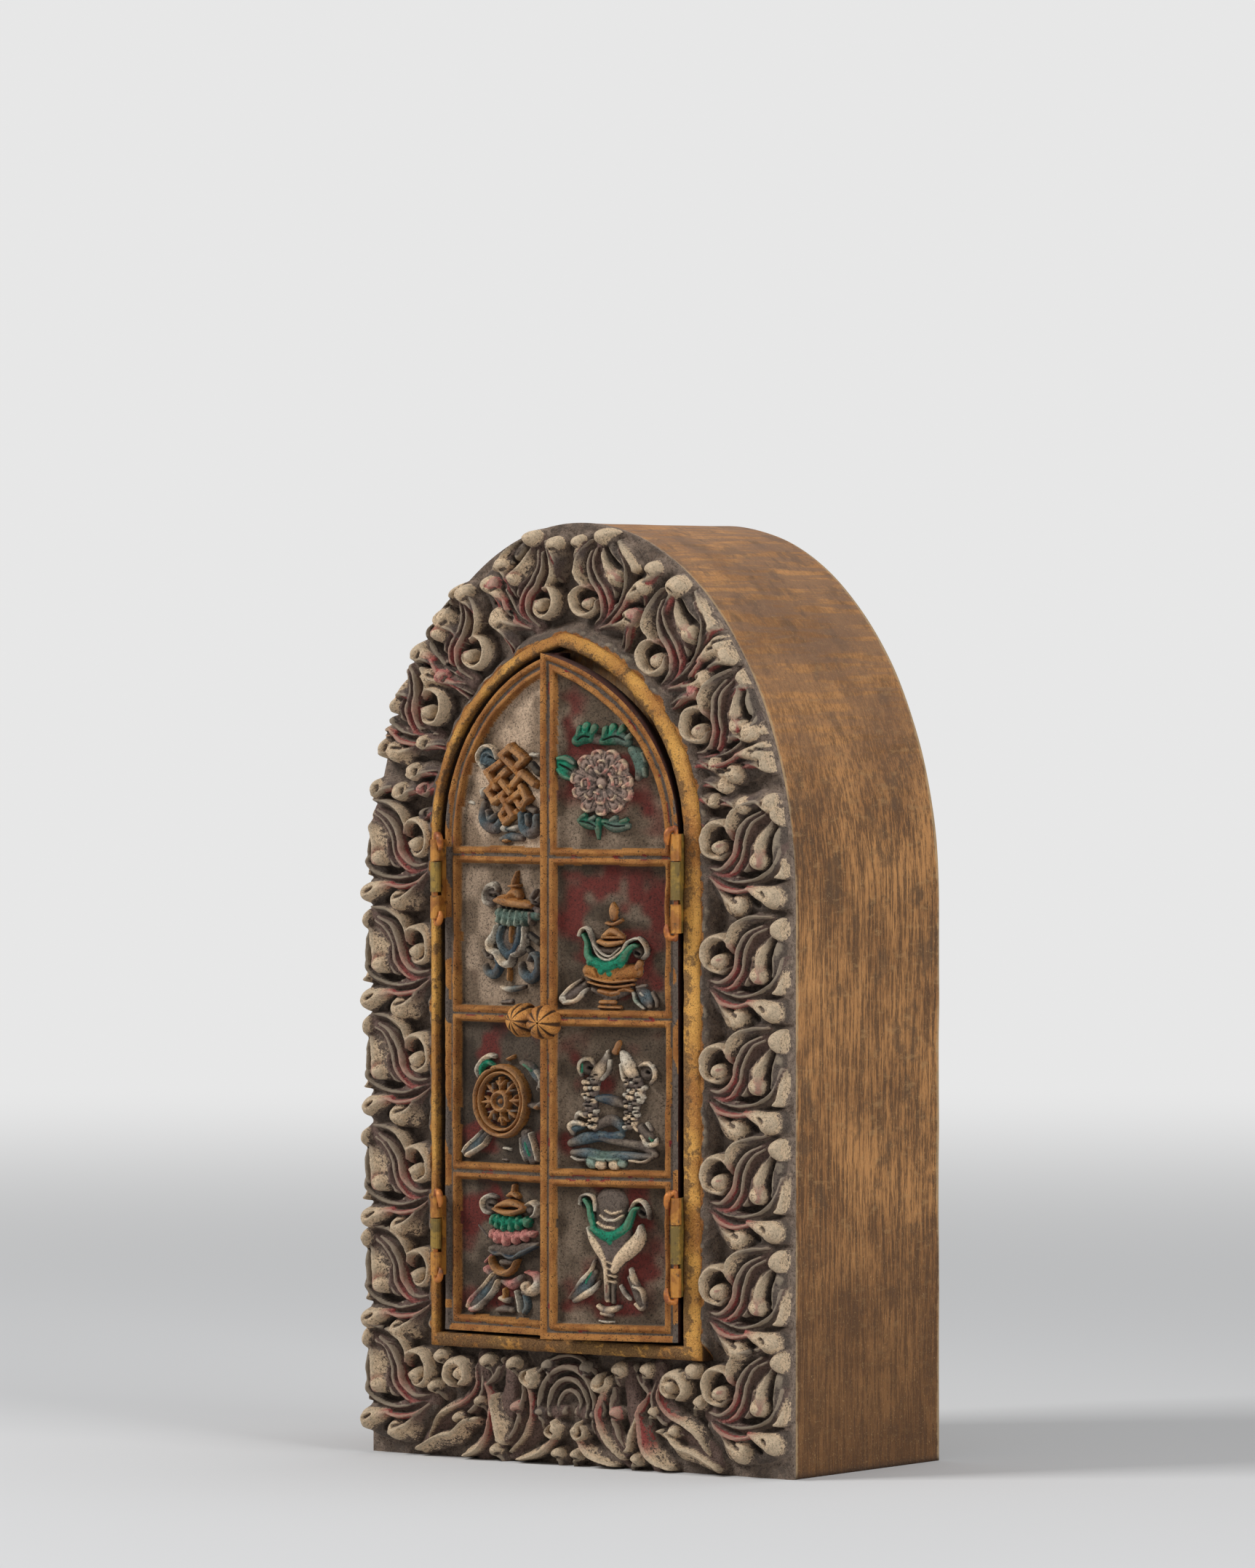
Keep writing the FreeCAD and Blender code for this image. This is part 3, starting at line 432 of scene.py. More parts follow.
def arched_loop(half, low, spring, right_arc, bottom, side):
    """(x, z) points round an arched outline with straight sides, from its bottom left corner."""
    left_arc = right_arc[::-1] * (-1, 1)
    across = np.linspace(-half, half, bottom + 1)
    up = np.linspace(low, spring, side + 1)
    parts = [
        np.stack([across, np.full(len(across), low)], 1)[:-1],
        np.stack([np.full(len(up), half), up], 1)[:-1],
        right_arc[:-1],
        left_arc[:-1],
        np.stack([np.full(len(up), -half), up[::-1]], 1)[:-1],
    ]
    return np.vstack(parts)


def pointed_arc(half, count):
    """(x, z) points up the right half of the doorway's arch at that half-width."""
    radius = half + ARCH_SHIFT
    rise = math.sqrt(radius ** 2 - ARCH_SHIFT ** 2)
    turns = np.linspace(0, math.atan2(rise, ARCH_SHIFT), count)
    return np.stack([radius * np.cos(turns) - ARCH_SHIFT, DOORWAY_SPRING + radius * np.sin(turns)], 1)


def doorway_loop(outset, bottom, side, arc, centre=DOORWAY_X):
    """(x, z) points round the doorway grown by outset, with that many steps along each part."""
    half = DOORWAY_HALF + outset
    low = DOORWAY_BOTTOM - outset
    return arched_loop(half, low, DOORWAY_SPRING, pointed_arc(half, arc + 1), bottom, side) + (centre, 0)


def frame_distance(x, z):
    """Distance from the outside of the gold frame, to its sides and above it."""
    off = np.abs(x - FRAME_X)
    half = DOORWAY_HALF + FRAME_BAR
    above = np.hypot(off + ARCH_SHIFT, z - DOORWAY_SPRING) - half - ARCH_SHIFT
    return np.where(z > DOORWAY_SPRING, above, off - half)


def block_half(z):
    """Half-width of the block at a height."""
    up = np.clip((np.asarray(z, float) - BLOCK_SPRING) / ARCH_RISE, 0, 1)
    return BLOCK_WIDTH / 2 * np.sqrt(1 - up ** 2)


def block_loop(inset, bottom, side, arc):
    """(x, z) points round the block shrunk by inset, in step with doorway_loop."""
    half = BLOCK_WIDTH / 2 - inset
    turns = np.linspace(0, math.pi / 2, arc + 1)
    right_arc = np.stack([half * np.cos(turns), BLOCK_SPRING + (ARCH_RISE - inset) * np.sin(turns)], 1)
    return arched_loop(half, inset, BLOCK_SPRING, right_arc, bottom, side)


def at_y(loop, y):
    """(x, z) points as (x, y, z) points."""
    return np.stack([loop[:, 0], np.full(len(loop), y), loop[:, 1]], 1)


def loops_piece(name, loops, values, body, material, caps=(False, False)):
    """Piece through closed loops of as many points; None between two loops breaks the surface."""
    points = []
    faces = []
    start = 0
    before = None
    count = len(loops[0])
    after = np.roll(np.arange(count), -1)
    numbers = []
    for loop in loops:
        if loop is None:
            before = None
            continue
        here = start + np.arange(count)
        points.append(loop)
        numbers.append(here)
        if before is not None:
            faces.append(np.stack([before, before[after], here[after], here], 1))
        before = here
        start += count
    faces = np.vstack(faces).tolist()
    if caps[0]:
        faces.append(numbers[0][::-1].tolist())
    if caps[1]:
        faces.append(numbers[-1].tolist())
    points = np.vstack(points)
    return new_piece(name, points, faces, values(points), body, material)


# Materials

class Paint:
    """Short ways to build a node material."""

    def __init__(self, name):
        self.material = bpy.data.materials.new(name)
        self.material.use_nodes = True
        self.tree = self.material.node_tree
        self.shader = self.tree.nodes["Principled BSDF"]
        self.place = self.node("ShaderNodeTexCoord").outputs["Object"]

    def node(self, kind):
        """New node of a kind."""
        return self.tree.nodes.new(kind)

    def link(self, source, target):
        """Join an output, or set a plain value."""
        if isinstance(source, bpy.types.NodeSocket):
            self.tree.links.new(source, target)
        elif hasattr(source, "__len__") and len(source) == 3 and target.type == "RGBA":
            target.default_value = (*source, 1.0)
        else:
            target.default_value = source

    def value(self, name):
        """One of the mesh's paint values."""
        node = self.node("ShaderNodeAttribute")
        node.attribute_name = name
        return node.outputs["Color" if name == "tone" else "Fac"]

    def scaled(self, scale):
        """Places stretched by three factors."""
        node = self.node("ShaderNodeMapping")
        self.link(self.place, node.inputs["Vector"])
        node.inputs["Scale"].default_value = scale
        return node.outputs["Vector"]

    def noise(self, size, detail, rough=0.55, stretch=None):
        """Noise with lumps of that size in millimetres."""
        node = self.node("ShaderNodeTexNoise")
        self.link(self.scaled(stretch) if stretch else self.place, node.inputs["Vector"])
        node.inputs["Scale"].default_value = 1.0 / (size * MM)
        node.inputs["Detail"].default_value = detail
        node.inputs["Roughness"].default_value = rough
        return node.outputs["Fac"]

    def math(self, kind, a, b):
        """Result of one step of arithmetic."""
        node = self.node("ShaderNodeMath")
        node.operation = kind
        self.link(a, node.inputs[0])
        self.link(b, node.inputs[1])
        return node.outputs[0]

    def plus(self, *terms):
        """Sum of (value, factor) pairs."""
        total = 0.0
        for value, factor in terms:
            part = self.math("MULTIPLY", value, factor)
            total = self.math("ADD", part, total)
        return total

    def step(self, value, low, high):
        """Smooth change from 0 at low to 1 at high."""
        node = self.node("ShaderNodeMapRange")
        node.interpolation_type = "SMOOTHSTEP"
        self.link(value, node.inputs["Value"])
        node.inputs["From Min"].default_value = low
        node.inputs["From Max"].default_value = high
        return node.outputs["Result"]

    def mix(self, share, a, b):
        """Colour between a and b."""
        node = self.node("ShaderNodeMix")
        node.data_type = "RGBA"
        self.link(share, node.inputs[0])
        self.link(a, node.inputs[6])
        self.link(b, node.inputs[7])
        return node.outputs[2]

    def over(self, colour, share, strength, tint):
        """Colour with a tint, as screen values, laid over it where the share is high."""
        return self.mix(self.math("MULTIPLY", share, strength), colour, linear(*tint))

    def between(self, share, a, b):
        """Number between a and b."""
        node = self.node("ShaderNodeMix")
        self.link(share, node.inputs[0])
        self.link(a, node.inputs[2])
        self.link(b, node.inputs[3])
        return node.outputs[0]

    def bump(self, heights):
        """Bump from (value, height in millimetres) pairs."""
        node = self.node("ShaderNodeBump")
        node.inputs["Distance"].default_value = MM
        node.inputs["Strength"].default_value = 1.0
        self.link(self.plus(*heights), node.inputs["Height"])
        self.link(node.outputs["Normal"], self.shader.inputs["Normal"])

    def finish(self, colour, rough, metal, specular):
        """Join colour and gloss to the shader, and give the material."""
        self.link(colour, self.shader.inputs["Base Color"])
        self.link(rough, self.shader.inputs["Roughness"])
        self.link(metal, self.shader.inputs["Metallic"])
        self.shader.inputs["Specular IOR Level"].default_value = specular
        return self.material


def gilding(p, lumps, flakes, grit, dull, bright):
    """Colour of worn gold paint with dark pits."""
    colour = p.mix(p.step(lumps, 0.36, 0.64), linear(*dull), linear(*bright))
    colour = p.over(colour, p.step(flakes, 0.56, 0.64), 0.4, (132, 82, 46))
    pits = p.step(p.plus((grit, 0.8), (flakes, 0.4)), 0.55, 0.46)
    return p.mix(p.math("MULTIPLY", pits, 0.9), colour, linear(50, 36, 27))


def aged_paint(name, dust, keep, rim, bump, shade_share):
    """Worn paint over dusty wood: colour stays on the high places, dirt fills the low ones, painted shade
    darkens the deep recesses and a painted highlight lightens the raised edges.
    """
    p = Paint(name)
    lumps = p.noise(9.0, 3.0)
    flakes = p.noise(2.2, 5.0, 0.7)
    grit = p.noise(0.55, 3.0, 0.8)
    speck = p.noise(1.1, 2.0, 0.8)
    lift = p.value("lift")
    crest = p.value("crest")
    shade_depth = p.value("shade_depth")
    gold = p.value("gold")
    worn = p.plus((crest, 0.75), (lift, 0.5), (lumps, 0.5), (flakes, 1.0), (speck, 0.3))
    stays = p.step(worn, keep + 0.27, keep + 0.36)
    dusty = p.mix(p.step(flakes, 0.35, 0.7), linear(*dust[0]), linear(*dust[1]))
    dusty = p.over(dusty, p.step(grit, 0.5, 0.68), 0.55, (142, 128, 116))
    base = p.value("tone")
    tone = p.mix(p.step(speck, 0.3, 0.66), p.mix(0.45, base, (0.01, 0.008, 0.007)), base)
    tone = p.mix(gold, tone, gilding(p, lumps, flakes, grit, (150, 98, 54), (180, 126, 70)))
    colour = p.mix(stays, dusty, tone)
    pits = p.step(p.plus((grit, 0.8), (flakes, 0.4)), 0.52, 0.45)
    colour = p.over(colour, pits, 0.85, (38, 31, 27))
    # Painted highlight: a pale rim on the raised edges, as strong as rim.
    edge = p.step(p.plus((lift, 1.0), (flakes, 0.25)), 0.80, 1.0)
    colour = p.mix(p.math("MULTIPLY", edge, rim), colour, linear(200, 182, 156))
    # Painted shade: near-black laid into the deep recesses.
    colour = p.mix(p.math("MULTIPLY", p.step(shade_depth, 0.10, 0.62), shade_share), colour, linear(20, 17, 16))
    metal = p.math("MULTIPLY", p.math("MULTIPLY", gold, stays), 0.3)
    p.bump(((flakes, 0.5 * bump), (grit, 0.3 * bump), (speck, 0.25 * bump)))
    return p.finish(colour, p.between(metal, 0.84, 0.5), metal, 0.3)


def gold_leaf(name, dull, bright):
    """Gold paint all over, pitted and rubbed, with painted glints."""
    p = Paint(name)
    lumps = p.noise(26.0, 3.0)
    flakes = p.noise(2.0, 5.0, 0.75)
    grit = p.noise(0.6, 3.0, 0.8)
    colour = gilding(p, lumps, flakes, grit, dull, bright)
    worn = p.noise(6.0, 5.0, 0.7)
    # Painted glints: bright specks standing in for highlights on the gold.
    glint = p.math("MULTIPLY", p.step(grit, 0.56, 0.66), 0.5)
    colour = p.mix(glint, colour, linear(238, 186, 100))
    bare = p.step(p.plus((worn, 0.9), (flakes, 0.6), (p.value("inner"), 0.16), (grit, 0.2)), 0.92, 0.99)
    dusty = p.mix(p.step(grit, 0.4, 0.6), linear(72, 51, 33), linear(122, 92, 60))
    colour = p.mix(p.math("MULTIPLY", bare, 0.8), colour, dusty)
    groove = p.step(p.value("crest"), 0.9, 0.4)
    colour = p.over(colour, groove, 0.9, (48, 34, 26))
    p.bump(((flakes, 0.8), (grit, 0.45), (worn, 0.6)))
    return p.finish(colour, p.between(bare, 0.46, 0.8), p.between(bare, 0.3, 0.0), 0.4)


def casing_paint():
    """Golden-brown paint rubbed through to vertical grain, with painted shade towards the bottom."""
    p = Paint("casing_paint")
    streak = p.noise(1.6, 5.0, 0.7, (1.0, 1.0, 0.05))
    fine = p.noise(0.55, 3.0, 0.75, (1.0, 1.0, 0.1))
    clouds = p.noise(46.0, 5.0, 0.62)
    marks = p.noise(1.3, 3.0, 0.7, (1.0, 0.12, 0.35))
    grit = p.noise(0.8, 3.0, 0.75)
    rings = p.noise(3.2, 4.0, 0.6, (1.0, 0.07, 1.0))
    colour = p.mix(p.step(clouds, 0.36, 0.64), linear(150, 104, 62), linear(190, 136, 84))
    dark = p.step(p.plus((streak, 0.7), (fine, 0.5), (clouds, 0.25)), 0.80, 0.66)
    dark = p.math("MULTIPLY", dark, p.between(p.value("top"), 0.8, 0.3))
    colour = p.mix(dark, colour, linear(70, 50, 34))
    blots = p.noise(17.0, 6.0, 0.66)
    colour = p.over(colour, p.step(blots, 0.54, 0.64), 0.6, (90, 68, 48))
    colour = p.over(colour, p.step(marks, 0.56, 0.68), 0.35, (176, 138, 92))
    # Painted shade: the block darkens towards the bottom, broken up by blotches.
    foot = p.step(p.plus((p.value("foot"), 0.9), (blots, 0.5)), 0.5, 1.2)
    colour = p.over(colour, foot, 0.75, (88, 60, 36))
    top = p.math("MULTIPLY", p.value("top"), p.step(rings, 0.40, 0.56))
    colour = p.over(colour, top, 0.7, (124, 96, 76))
    spots = p.math("MULTIPLY", p.value("top"), p.step(blots, 0.44, 0.36))
    colour = p.over(colour, spots, 0.6, (104, 80, 62))
    colour = p.over(colour, p.step(grit, 0.60, 0.70), 0.6, (198, 160, 108))
    colour = p.over(colour, p.step(grit, 0.36, 0.28), 0.6, (62, 46, 34))
    worn = p.step(p.plus((p.value("rim"), 0.8), (clouds, 0.6), (marks, 0.3)), 1.02, 1.2)
    colour = p.over(colour, worn, 0.6, (188, 162, 124))
    colour = p.over(colour, p.value("low"), 0.8, (52, 40, 32))
    p.bump(((streak, 0.6), (grit, 0.35), (marks, 0.3)))
    return p.finish(colour, p.between(clouds, 0.56, 0.7), 0.0, 0.25)


def hinge_brass(name, base, stain, metal):
    """Old brass or rusty iron of the hinges."""
    p = Paint(name)
    clouds = p.noise(6.0, 4.0, 0.6)
    grit = p.noise(0.9, 4.0, 0.7)
    colour = p.mix(p.step(clouds, 0.42, 0.58), linear(*base), linear(*stain))
    grime = p.noise(3.4, 5.0, 0.7)
    colour = p.over(colour, p.step(grime, 0.55, 0.66), 0.75, (84, 66, 46))
    colour = p.over(colour, p.step(grit, 0.58, 0.72), 0.7, (58, 42, 28))
    p.bump(((clouds, 0.3), (grit, 0.16)))
    return p.finish(colour, p.between(grit, 0.36, 0.62), metal, 0.5)


# After the dust colours: paint kept, strength of the painted highlight on raised edges, bump, and strength
# of the painted shade in recesses.
carving_paint = aged_paint("carving_paint", ((112, 96, 84), (160, 140, 123)), 1.22, 0.45, 1.4, 0.54)
door_paint = aged_paint("door_paint", ((88, 76, 64), (122, 106, 88)), 0.98, 0.0, 0.9, 0.6)
symbol_paint = aged_paint("symbol_paint", ((80, 72, 66), (104, 95, 87)), 0.9, 0.15, 0.8, 0.7)
gold_paint = gold_leaf("gold_paint", (164, 108, 52), (214, 158, 78))
bud_paint = gold_leaf("bud_paint", (156, 96, 48), (214, 148, 76))
wood_paint = casing_paint()
door_brass = hinge_brass("hinge_brass", (186, 128, 58), (152, 98, 46), 0.35)
frame_brass = hinge_brass("hinge_olive", (152, 122, 56), (116, 96, 50), 0.35)
rust = hinge_brass("hinge_rust", (190, 118, 54), (136, 76, 40), 0.25)


# Carved border. Strokes of one acanthus unit about its volute, as (outward, along) points.
# Each stroke: path, widths, heights, section, tones.
UNIT_STROKES = (
    (((-6, -11), (8, -12), (16, -4), (18, 8), (28, 13)), (9, 14, 14, 12, 8), 5.2, "round", "mmm"),
    (((-6, -15), (4, -21), (16, -23), (28, -21)), (6, 12, 14, 12), 5.2, "round", "ggg"),
    (((-7.4, -11), (1.4, -14.8), (11.8, -16.6), (22, -14.2), (29, -8.6), (31.5, 0)),
     (1.6, 3.4, 4.2, 4.6, 4.4, 2.6), (5.6, 7.6, 8.4, 9.2, 9.6, 9), "left", "mgsgsm"),
    (((-6, -9.4), (1.4, -10.4), (8, -5.2), (10.2, 2.8), (14.2, 9), (21, 12.8)),
     (1.6, 3.2, 3.8, 3.4, 3.2, 1.6), (6.4, 8.6, 9.4, 9.4, 9.2, 8.6), "round", "mmpmmm"),
    (((-5, -12.2), (5, -12.6), (11.6, -6.6), (13.4, 1.6), (17.4, 8.4), (23, 11.4)),
     (1.4, 3, 3.6, 3.2, 2.8, 1.4), (5.8, 7.6, 8.6, 8.8, 8.8, 8.4), "round", "mpmmm"),
    (((0, -14), (9, -13.6), (15, -7.5), (16.2, 0)), (1.4, 2.6, 2.8, 1.4), (5.6, 7, 7.8, 7.6), "round",
     "mmm"),
    (((6.4, 1.2), (6.8, 6.4), (9.6, 11.2), (16, 14.6), (24, 16)), (1.4, 4.6, 5.8, 4.8, 2.4),
     (8.6, 10.8, 11.6, 10.8, 9.6), "left", "pccsm"),
    (((7.4, 2.4), (3.4, 7.4), (-2.6, 7.2), (-6, 2.2), (-4.8, -3.8), (0.6, -6.2), (4.8, -3.8)),
     (1.2, 3, 3.8, 4, 3.4, 2.6, 1.2), (8.8, 10.8, 11.4, 11.4, 10.8, 9.6, 8.4), "round", "pcccccm"),
    (((25.2, 8.4), (21.2, 4.2), (18.4, -1.6), (19.6, -7.2)), (2.8, 7, 9.4, 7.4), (8.8, 11, 12.2, 11.4),
     "left", "mccp"),
    (((29.6, 7), (28.2, 0), (27, -7)), (5, 8, 5), (7.2, 8.2, 7.6), "round", "ggg"),
    (((29.5, 11.6), (36, 10.6)), (8.5, 7.6), (11.6, 10.6), "round", "cc"),
    (((33.2, 4.5), (31.6, -3), (28.8, -11.5)), (1.8, 4.6, 6.4), (8.8, 11.2, 11), "left", "scc"),
    (((-6, -13.6), (0, -20), (5, -25.2), (10, -26.4)), (2, 5.6, 8.6, 7.8), (6.4, 9.2, 10.8, 11), "left",
     "mmcc"),
    (((-5, -13.2), (1.4, -17.6), (8.3, -19.4), (15, -18.6)), (1.2, 2.2, 2.6, 1.6), (7.6, 9.8, 10.8, 10),
     "round", "mppf"),
    (((14, -17.6), (20, -19.4), (25.5, -21)), (2.6, 6.8, 9.4), (8.6, 10.8, 11.8), "round", "pcc"),
)
UNIT_BALLS = (
    (0.6, -2.0, 3.7, 11.8, "c"),
    (2.2, -1.2, 1.2, 12.3, "p"),
    (19.8, -7.0, 4.6, 12.0, "c"),
    (30.0, 11.4, 5.2, 12.4, "c"),
    (10.4, -24.8, 5.2, 11.8, "c"),
    (26.0, -21.4, 5.0, 12.2, "c"),
)
# Hollows of one unit: path, widths, depth, tone.
UNIT_GOUGES = (
    (((4.2, 2.6), (0.4, 3.8), (-2.6, 1.4)), (1.6, 2.4, 1.6), 6.5, "d"),
    (((26.4, 6.5), (24.6, 0.5), (25.2, -5.5)), (2.2, 4, 2.2), 4, "g"),
    (((8, -22.4), (10.8, -23.4)), (1.3, 1.8), 4, "d"),
    (((22.4, -19.2), (25, -20.8)), (1.2, 1.8), 3.6, "d"),
    (((10, -12.4), (15, -12.6), (20.4, -11.4)), (2.2, 3.4, 2.4), 7, "d"),
    (((14.6, -21.6), (18, -24.6)), (1.6, 2.6), 5, "d"),
)
VOLUTE_X = 74.9
VOLUTE_HEIGHTS = (35.0, 75.7, 118.7, 163.6, 207.3, 252.0)
ARCH_VOLUTES = {
    1: ((65.4, 297.5, 20.0, 0.95), (43.0, 325.5, 48.0, 0.96), (8.8, 347.5, 52.0, 0.86)),
    -1: ((68.0, 305.0, 24.0, 0.95), (46.5, 327.0, 46.0, 0.92), (11.4, 347.0, 54.0, 0.86)),
}
# Bulbs that fill the arch between its units: (x, z, radius, height, tone), each with a leaf behind it.
ARCH_BULBS = {
    1: (
        (4.6, 372, 3.6, 11.6, "c"), (41, 361, 3.8, 11.6, "c"), (32, 342.5, 3.9, 11, "f"),
        (53.4, 354, 3.8, 11.4, "c"), (75.4, 341, 4.4, 11.4, "c"), (78, 327, 5.2, 12, "c"),
        (62, 312.5, 4.2, 11.2, "f"), (72, 283.5, 3.8, 10.6, "c"), (71, 269, 3.4, 10, "c"),
        (70, 259.5, 3, 9.4, "s"), (86, 267, 4.4, 11, "c"), (98.5, 268, 4.6, 11.4, "c"),
        (91, 317, 4.6, 11.6, "c"), (89, 296, 5, 11.8, "c"), (97, 284, 4.4, 11, "c"),
        (77, 275, 4.2, 11, "c"),
    ),
    -1: (
        (-7.5, 371.4, 3.8, 11.6, "c"), (-33, 363.4, 4.2, 11.6, "c"), (-38, 355, 4, 11.2, "f"),
        (-35, 340.5, 4.8, 11.4, "c"), (-53, 351.5, 4.6, 11.6, "c"), (-64, 341.5, 5, 11.8, "c"),
        (-77, 328, 5, 11.8, "c"), (-64, 318, 4, 11, "f"), (-74, 291, 3.8, 10.6, "c"),
        (-74.5, 272, 3.6, 10.2, "f"), (-74, 262, 3, 9.4, "s"), (-86, 271, 4.6, 11.2, "c"),
        (-99, 272, 4.6, 11.4, "c"), (-90, 313, 5, 11.6, "c"), (-95, 289, 4.8, 11.4, "c"),
        (-79, 279, 4.4, 11, "c"),
    ),
}
BULB_HUB = (-1.3, 285.0)
FOOT_MIDDLE = -2.0
# Bulbs along the foot, right half; their leaves run down.
FOOT_BULBS = (
    (7.5, 40, 3.4, 9.6, "s"), (24.5, 40, 3.8, 10.6, "c"), (22.8, 22.5, 3.2, 10.2, "f"),
    (38, 40.5, 3.8, 10.4, "c"), (41.5, 24, 3, 10, "c"), (61, 41.5, 4, 10.8, "c"),
    (64.5, 29, 3.6, 10.6, "c"), (11.5, 21, 2.8, 8.8, "s"), (52, 16.8, 3.2, 10.4, "c"),
    (2.6, 4.8, 3, 9.6, "c"), (33.4, 4.6, 3.4, 10, "c"),
)
FOOT_HUB = (-2.0, -60.0)
FOOT_LEAF = 7.0
BULB_LEAF = 15.0
EDGE_ROUND = 2.8
BORDER_SEAT = 0.4
UNDER_FRAME = 0.3
HALF_ARCH = 185
# Strokes along the foot, right half: path, widths, heights, section, tones.
FOOT_STROKES = (
    (((2, 22), (10, 20), (18, 12), (27, 4)), (6, 10, 12, 8), 4.6, "round", "mm"),
    (((27, 40), (29, 28), (33, 14), (42, 3)), (8, 9, 12, 9), 4.6, "round", "mm"),
    (((42, 42), (43, 30), (52, 19), (66, 10), (72, 4)), (8, 10, 12, 10, 6), 4.6, "round", "mm"),
    (((5.5, 16.5), (7.6, 13.2), (4, 11.2), (2.2, 14.2), (4.4, 17.6)), (1.2, 2.4, 2.6, 2.6, 2.2), 9.6,
     "round", "ccc"),
    (((3.4, 12.6), (7.6, 8.3), (13, 5), (21.3, 2.4)), (2.6, 4.6, 5.2, 4), (8.4, 10.2, 10.4, 9.6), "right",
     "pcc"),
    (((19.5, 37.5), (19, 33.5), (14.8, 31.5), (12.6, 34.4), (15.4, 37.6)), (1.4, 2.6, 3, 3.2, 2.6), 10.6,
     "round", "ccc"),
    (((18.4, 32), (16.2, 27), (15.6, 20.4), (19.2, 12), (26.4, 5)), (2.2, 3.6, 4, 4, 2.6),
     (8.6, 9.6, 10.4, 10.2, 9.2), "right", "cppcc"),
    (((21, 33), (20.4, 24), (24.5, 13), (31, 5.4)), (1.6, 2.6, 2.8, 1.6), (6.6, 7.6, 7.8, 7), "round",
     "mmm"),
    (((34.2, 26.6), (32.6, 21), (29.6, 14.6), (28.8, 9.6)), (2.4, 5, 7.4, 6.6), (8.4, 10.4, 11.2, 11),
     "left", "ccc"),
    (((39.5, 31), (36.6, 24), (38.6, 12), (43, 6.2), (49, 2.6)), (1.8, 4.4, 6.2, 6.6, 4.4),
     (8.2, 10.2, 11, 10.8, 9.8), "right", "pppcc"),
    (((31, 42), (33.8, 36), (39, 30.4)), (2, 3.4, 2), 6.4, "round", "mmm"),
    (((54.6, 29.6), (57.8, 33.4), (55.4, 38.8), (49.6, 38.8), (47.4, 33.6), (50.2, 30.6)),
     (2, 4.6, 5.8, 4.8, 4.2, 2.6), 11, "round", "ccccc"),
    (((45.2, 38), (44.4, 30), (49.4, 24.4), (58, 20.8), (63.8, 16.6), (68.6, 8.6)),
     (1.8, 3, 3.8, 4.6, 4, 1.8), (7.4, 8.8, 9.6, 10.2, 9.8, 8), "right", "mppccc"),
    (((44.4, 15.4), (48.6, 13.8), (54.4, 8.6), (61, 7), (71.4, 2.8)), (4.4, 5.4, 6.4, 6.8, 5),
     (9.4, 10.6, 11, 11, 10), "left", "cccc"),
    (((42.2, 37), (40.6, 29), (45.4, 20.6), (56, 15.6)), (1.4, 2.6, 3, 1.8), (6, 7.4, 7.8, 7), "round",
     "mmm"),
)
FOOT_BALLS = ((3.2, 14.6, 2.6, 10.4, "c"), (14.4, 34.8, 3.4, 11.4, "c"), (50.8, 34.8, 3.6, 11.6, "c"))
FOOT_ARCHES = ((5.6, 2.8, 5.0), (9.8, 3.2, 6.2), (14.0, 3.4, 7.4), (18.4, 2.6, 6.4))
FOOT_ARCH_SQUASH = 1.12
FOOT_ARCH_BASE = 24.0
FOOT_ARCH_TURN = 0.35


def leaned(centre, side, turn_degrees, scale, wobble):
    """Function from a unit's (outward, along) points to (x, z) on the front."""
    turn = math.radians(turn_degrees + wobble[2])

    def place(point):
        """One such point on the front."""
        outward, along = point
        x = scale * (outward * math.cos(turn) - along * math.sin(turn))
        z = scale * (outward * math.sin(turn) + along * math.cos(turn))
        return FRAME_X + side * (centre[0] + x + wobble[0]), centre[1] + z + wobble[1]

    return place


def carve_unit(field, centre, side, turn_degrees, scale, seed):
    """One acanthus unit, a little different each time."""
    random = np.random.default_rng(seed)
    wobble = random.uniform(-0.5, 0.5, 3) * (1.0, 1.0, 4.0)
    place = leaned(centre, side, turn_degrees, scale, wobble)
    tall = random.uniform(0.94, 1.03)
    if scale < 0.95:
        tall *= 0.97
    for path, widths, heights, section, tones in UNIT_STROKES:
        shift = random.uniform(-0.35, 0.35, (len(path), 2))
        points = [place((x + dx, z + dz)) for (x, z), (dx, dz) in zip(path, shift)]
        wide = [scale * width for width in per_point(widths, path)]
        high = [tall * height for height in per_point(heights, path)]
        field.stroke(points, wide, high, section, tones, side)
    for outward, along, radius, height, tones in UNIT_BALLS:
        x, z = place((outward, along))
        field.ball(x, z, scale * radius * random.uniform(0.92, 1.08), height * tall, tones)
    for path, widths, depth, tone in UNIT_GOUGES:
        wide = [scale * width for width in per_point(widths, path)]
        field.gouge([place(point) for point in path], wide, depth, side, tone)


def foot_place(side, point):
    """Place on either half of the foot, of a point given for its right half."""
    return FOOT_MIDDLE + side * (point[0] - FOOT_MIDDLE), point[1]


def carve_foot(field):
    """Leaf scrolls and nested arches along the foot."""
    for side in (-1, 1):
        for path, widths, heights, section, tones in FOOT_STROKES:
            points = [foot_place(side, point) for point in path]
            field.stroke(points, widths, heights, section, tones, side)
        for x, z, radius, height, tones in FOOT_BALLS:
            field.ball(*foot_place(side, (x, z)), radius, height, tones)
        for x, z, radius, height, tone in FOOT_BULBS:
            carve_bulb(field, (*foot_place(side, (x, z)), radius, height, tone), side, FOOT_HUB, FOOT_LEAF)
    turns = np.linspace(-FOOT_ARCH_TURN, math.pi + FOOT_ARCH_TURN, 12)
    for radius, width, height in FOOT_ARCHES:
        across = FOOT_MIDDLE + radius * np.cos(turns)
        up = FOOT_ARCH_BASE + FOOT_ARCH_SQUASH * radius * np.sin(turns)
        field.stroke(list(zip(across, up)), width, height, "round", "gkg")
    field.gouge([(FOOT_MIDDLE, 23.0), (FOOT_MIDDLE, 26.0)], [4.4, 3.6], 5.0, 1, "d")


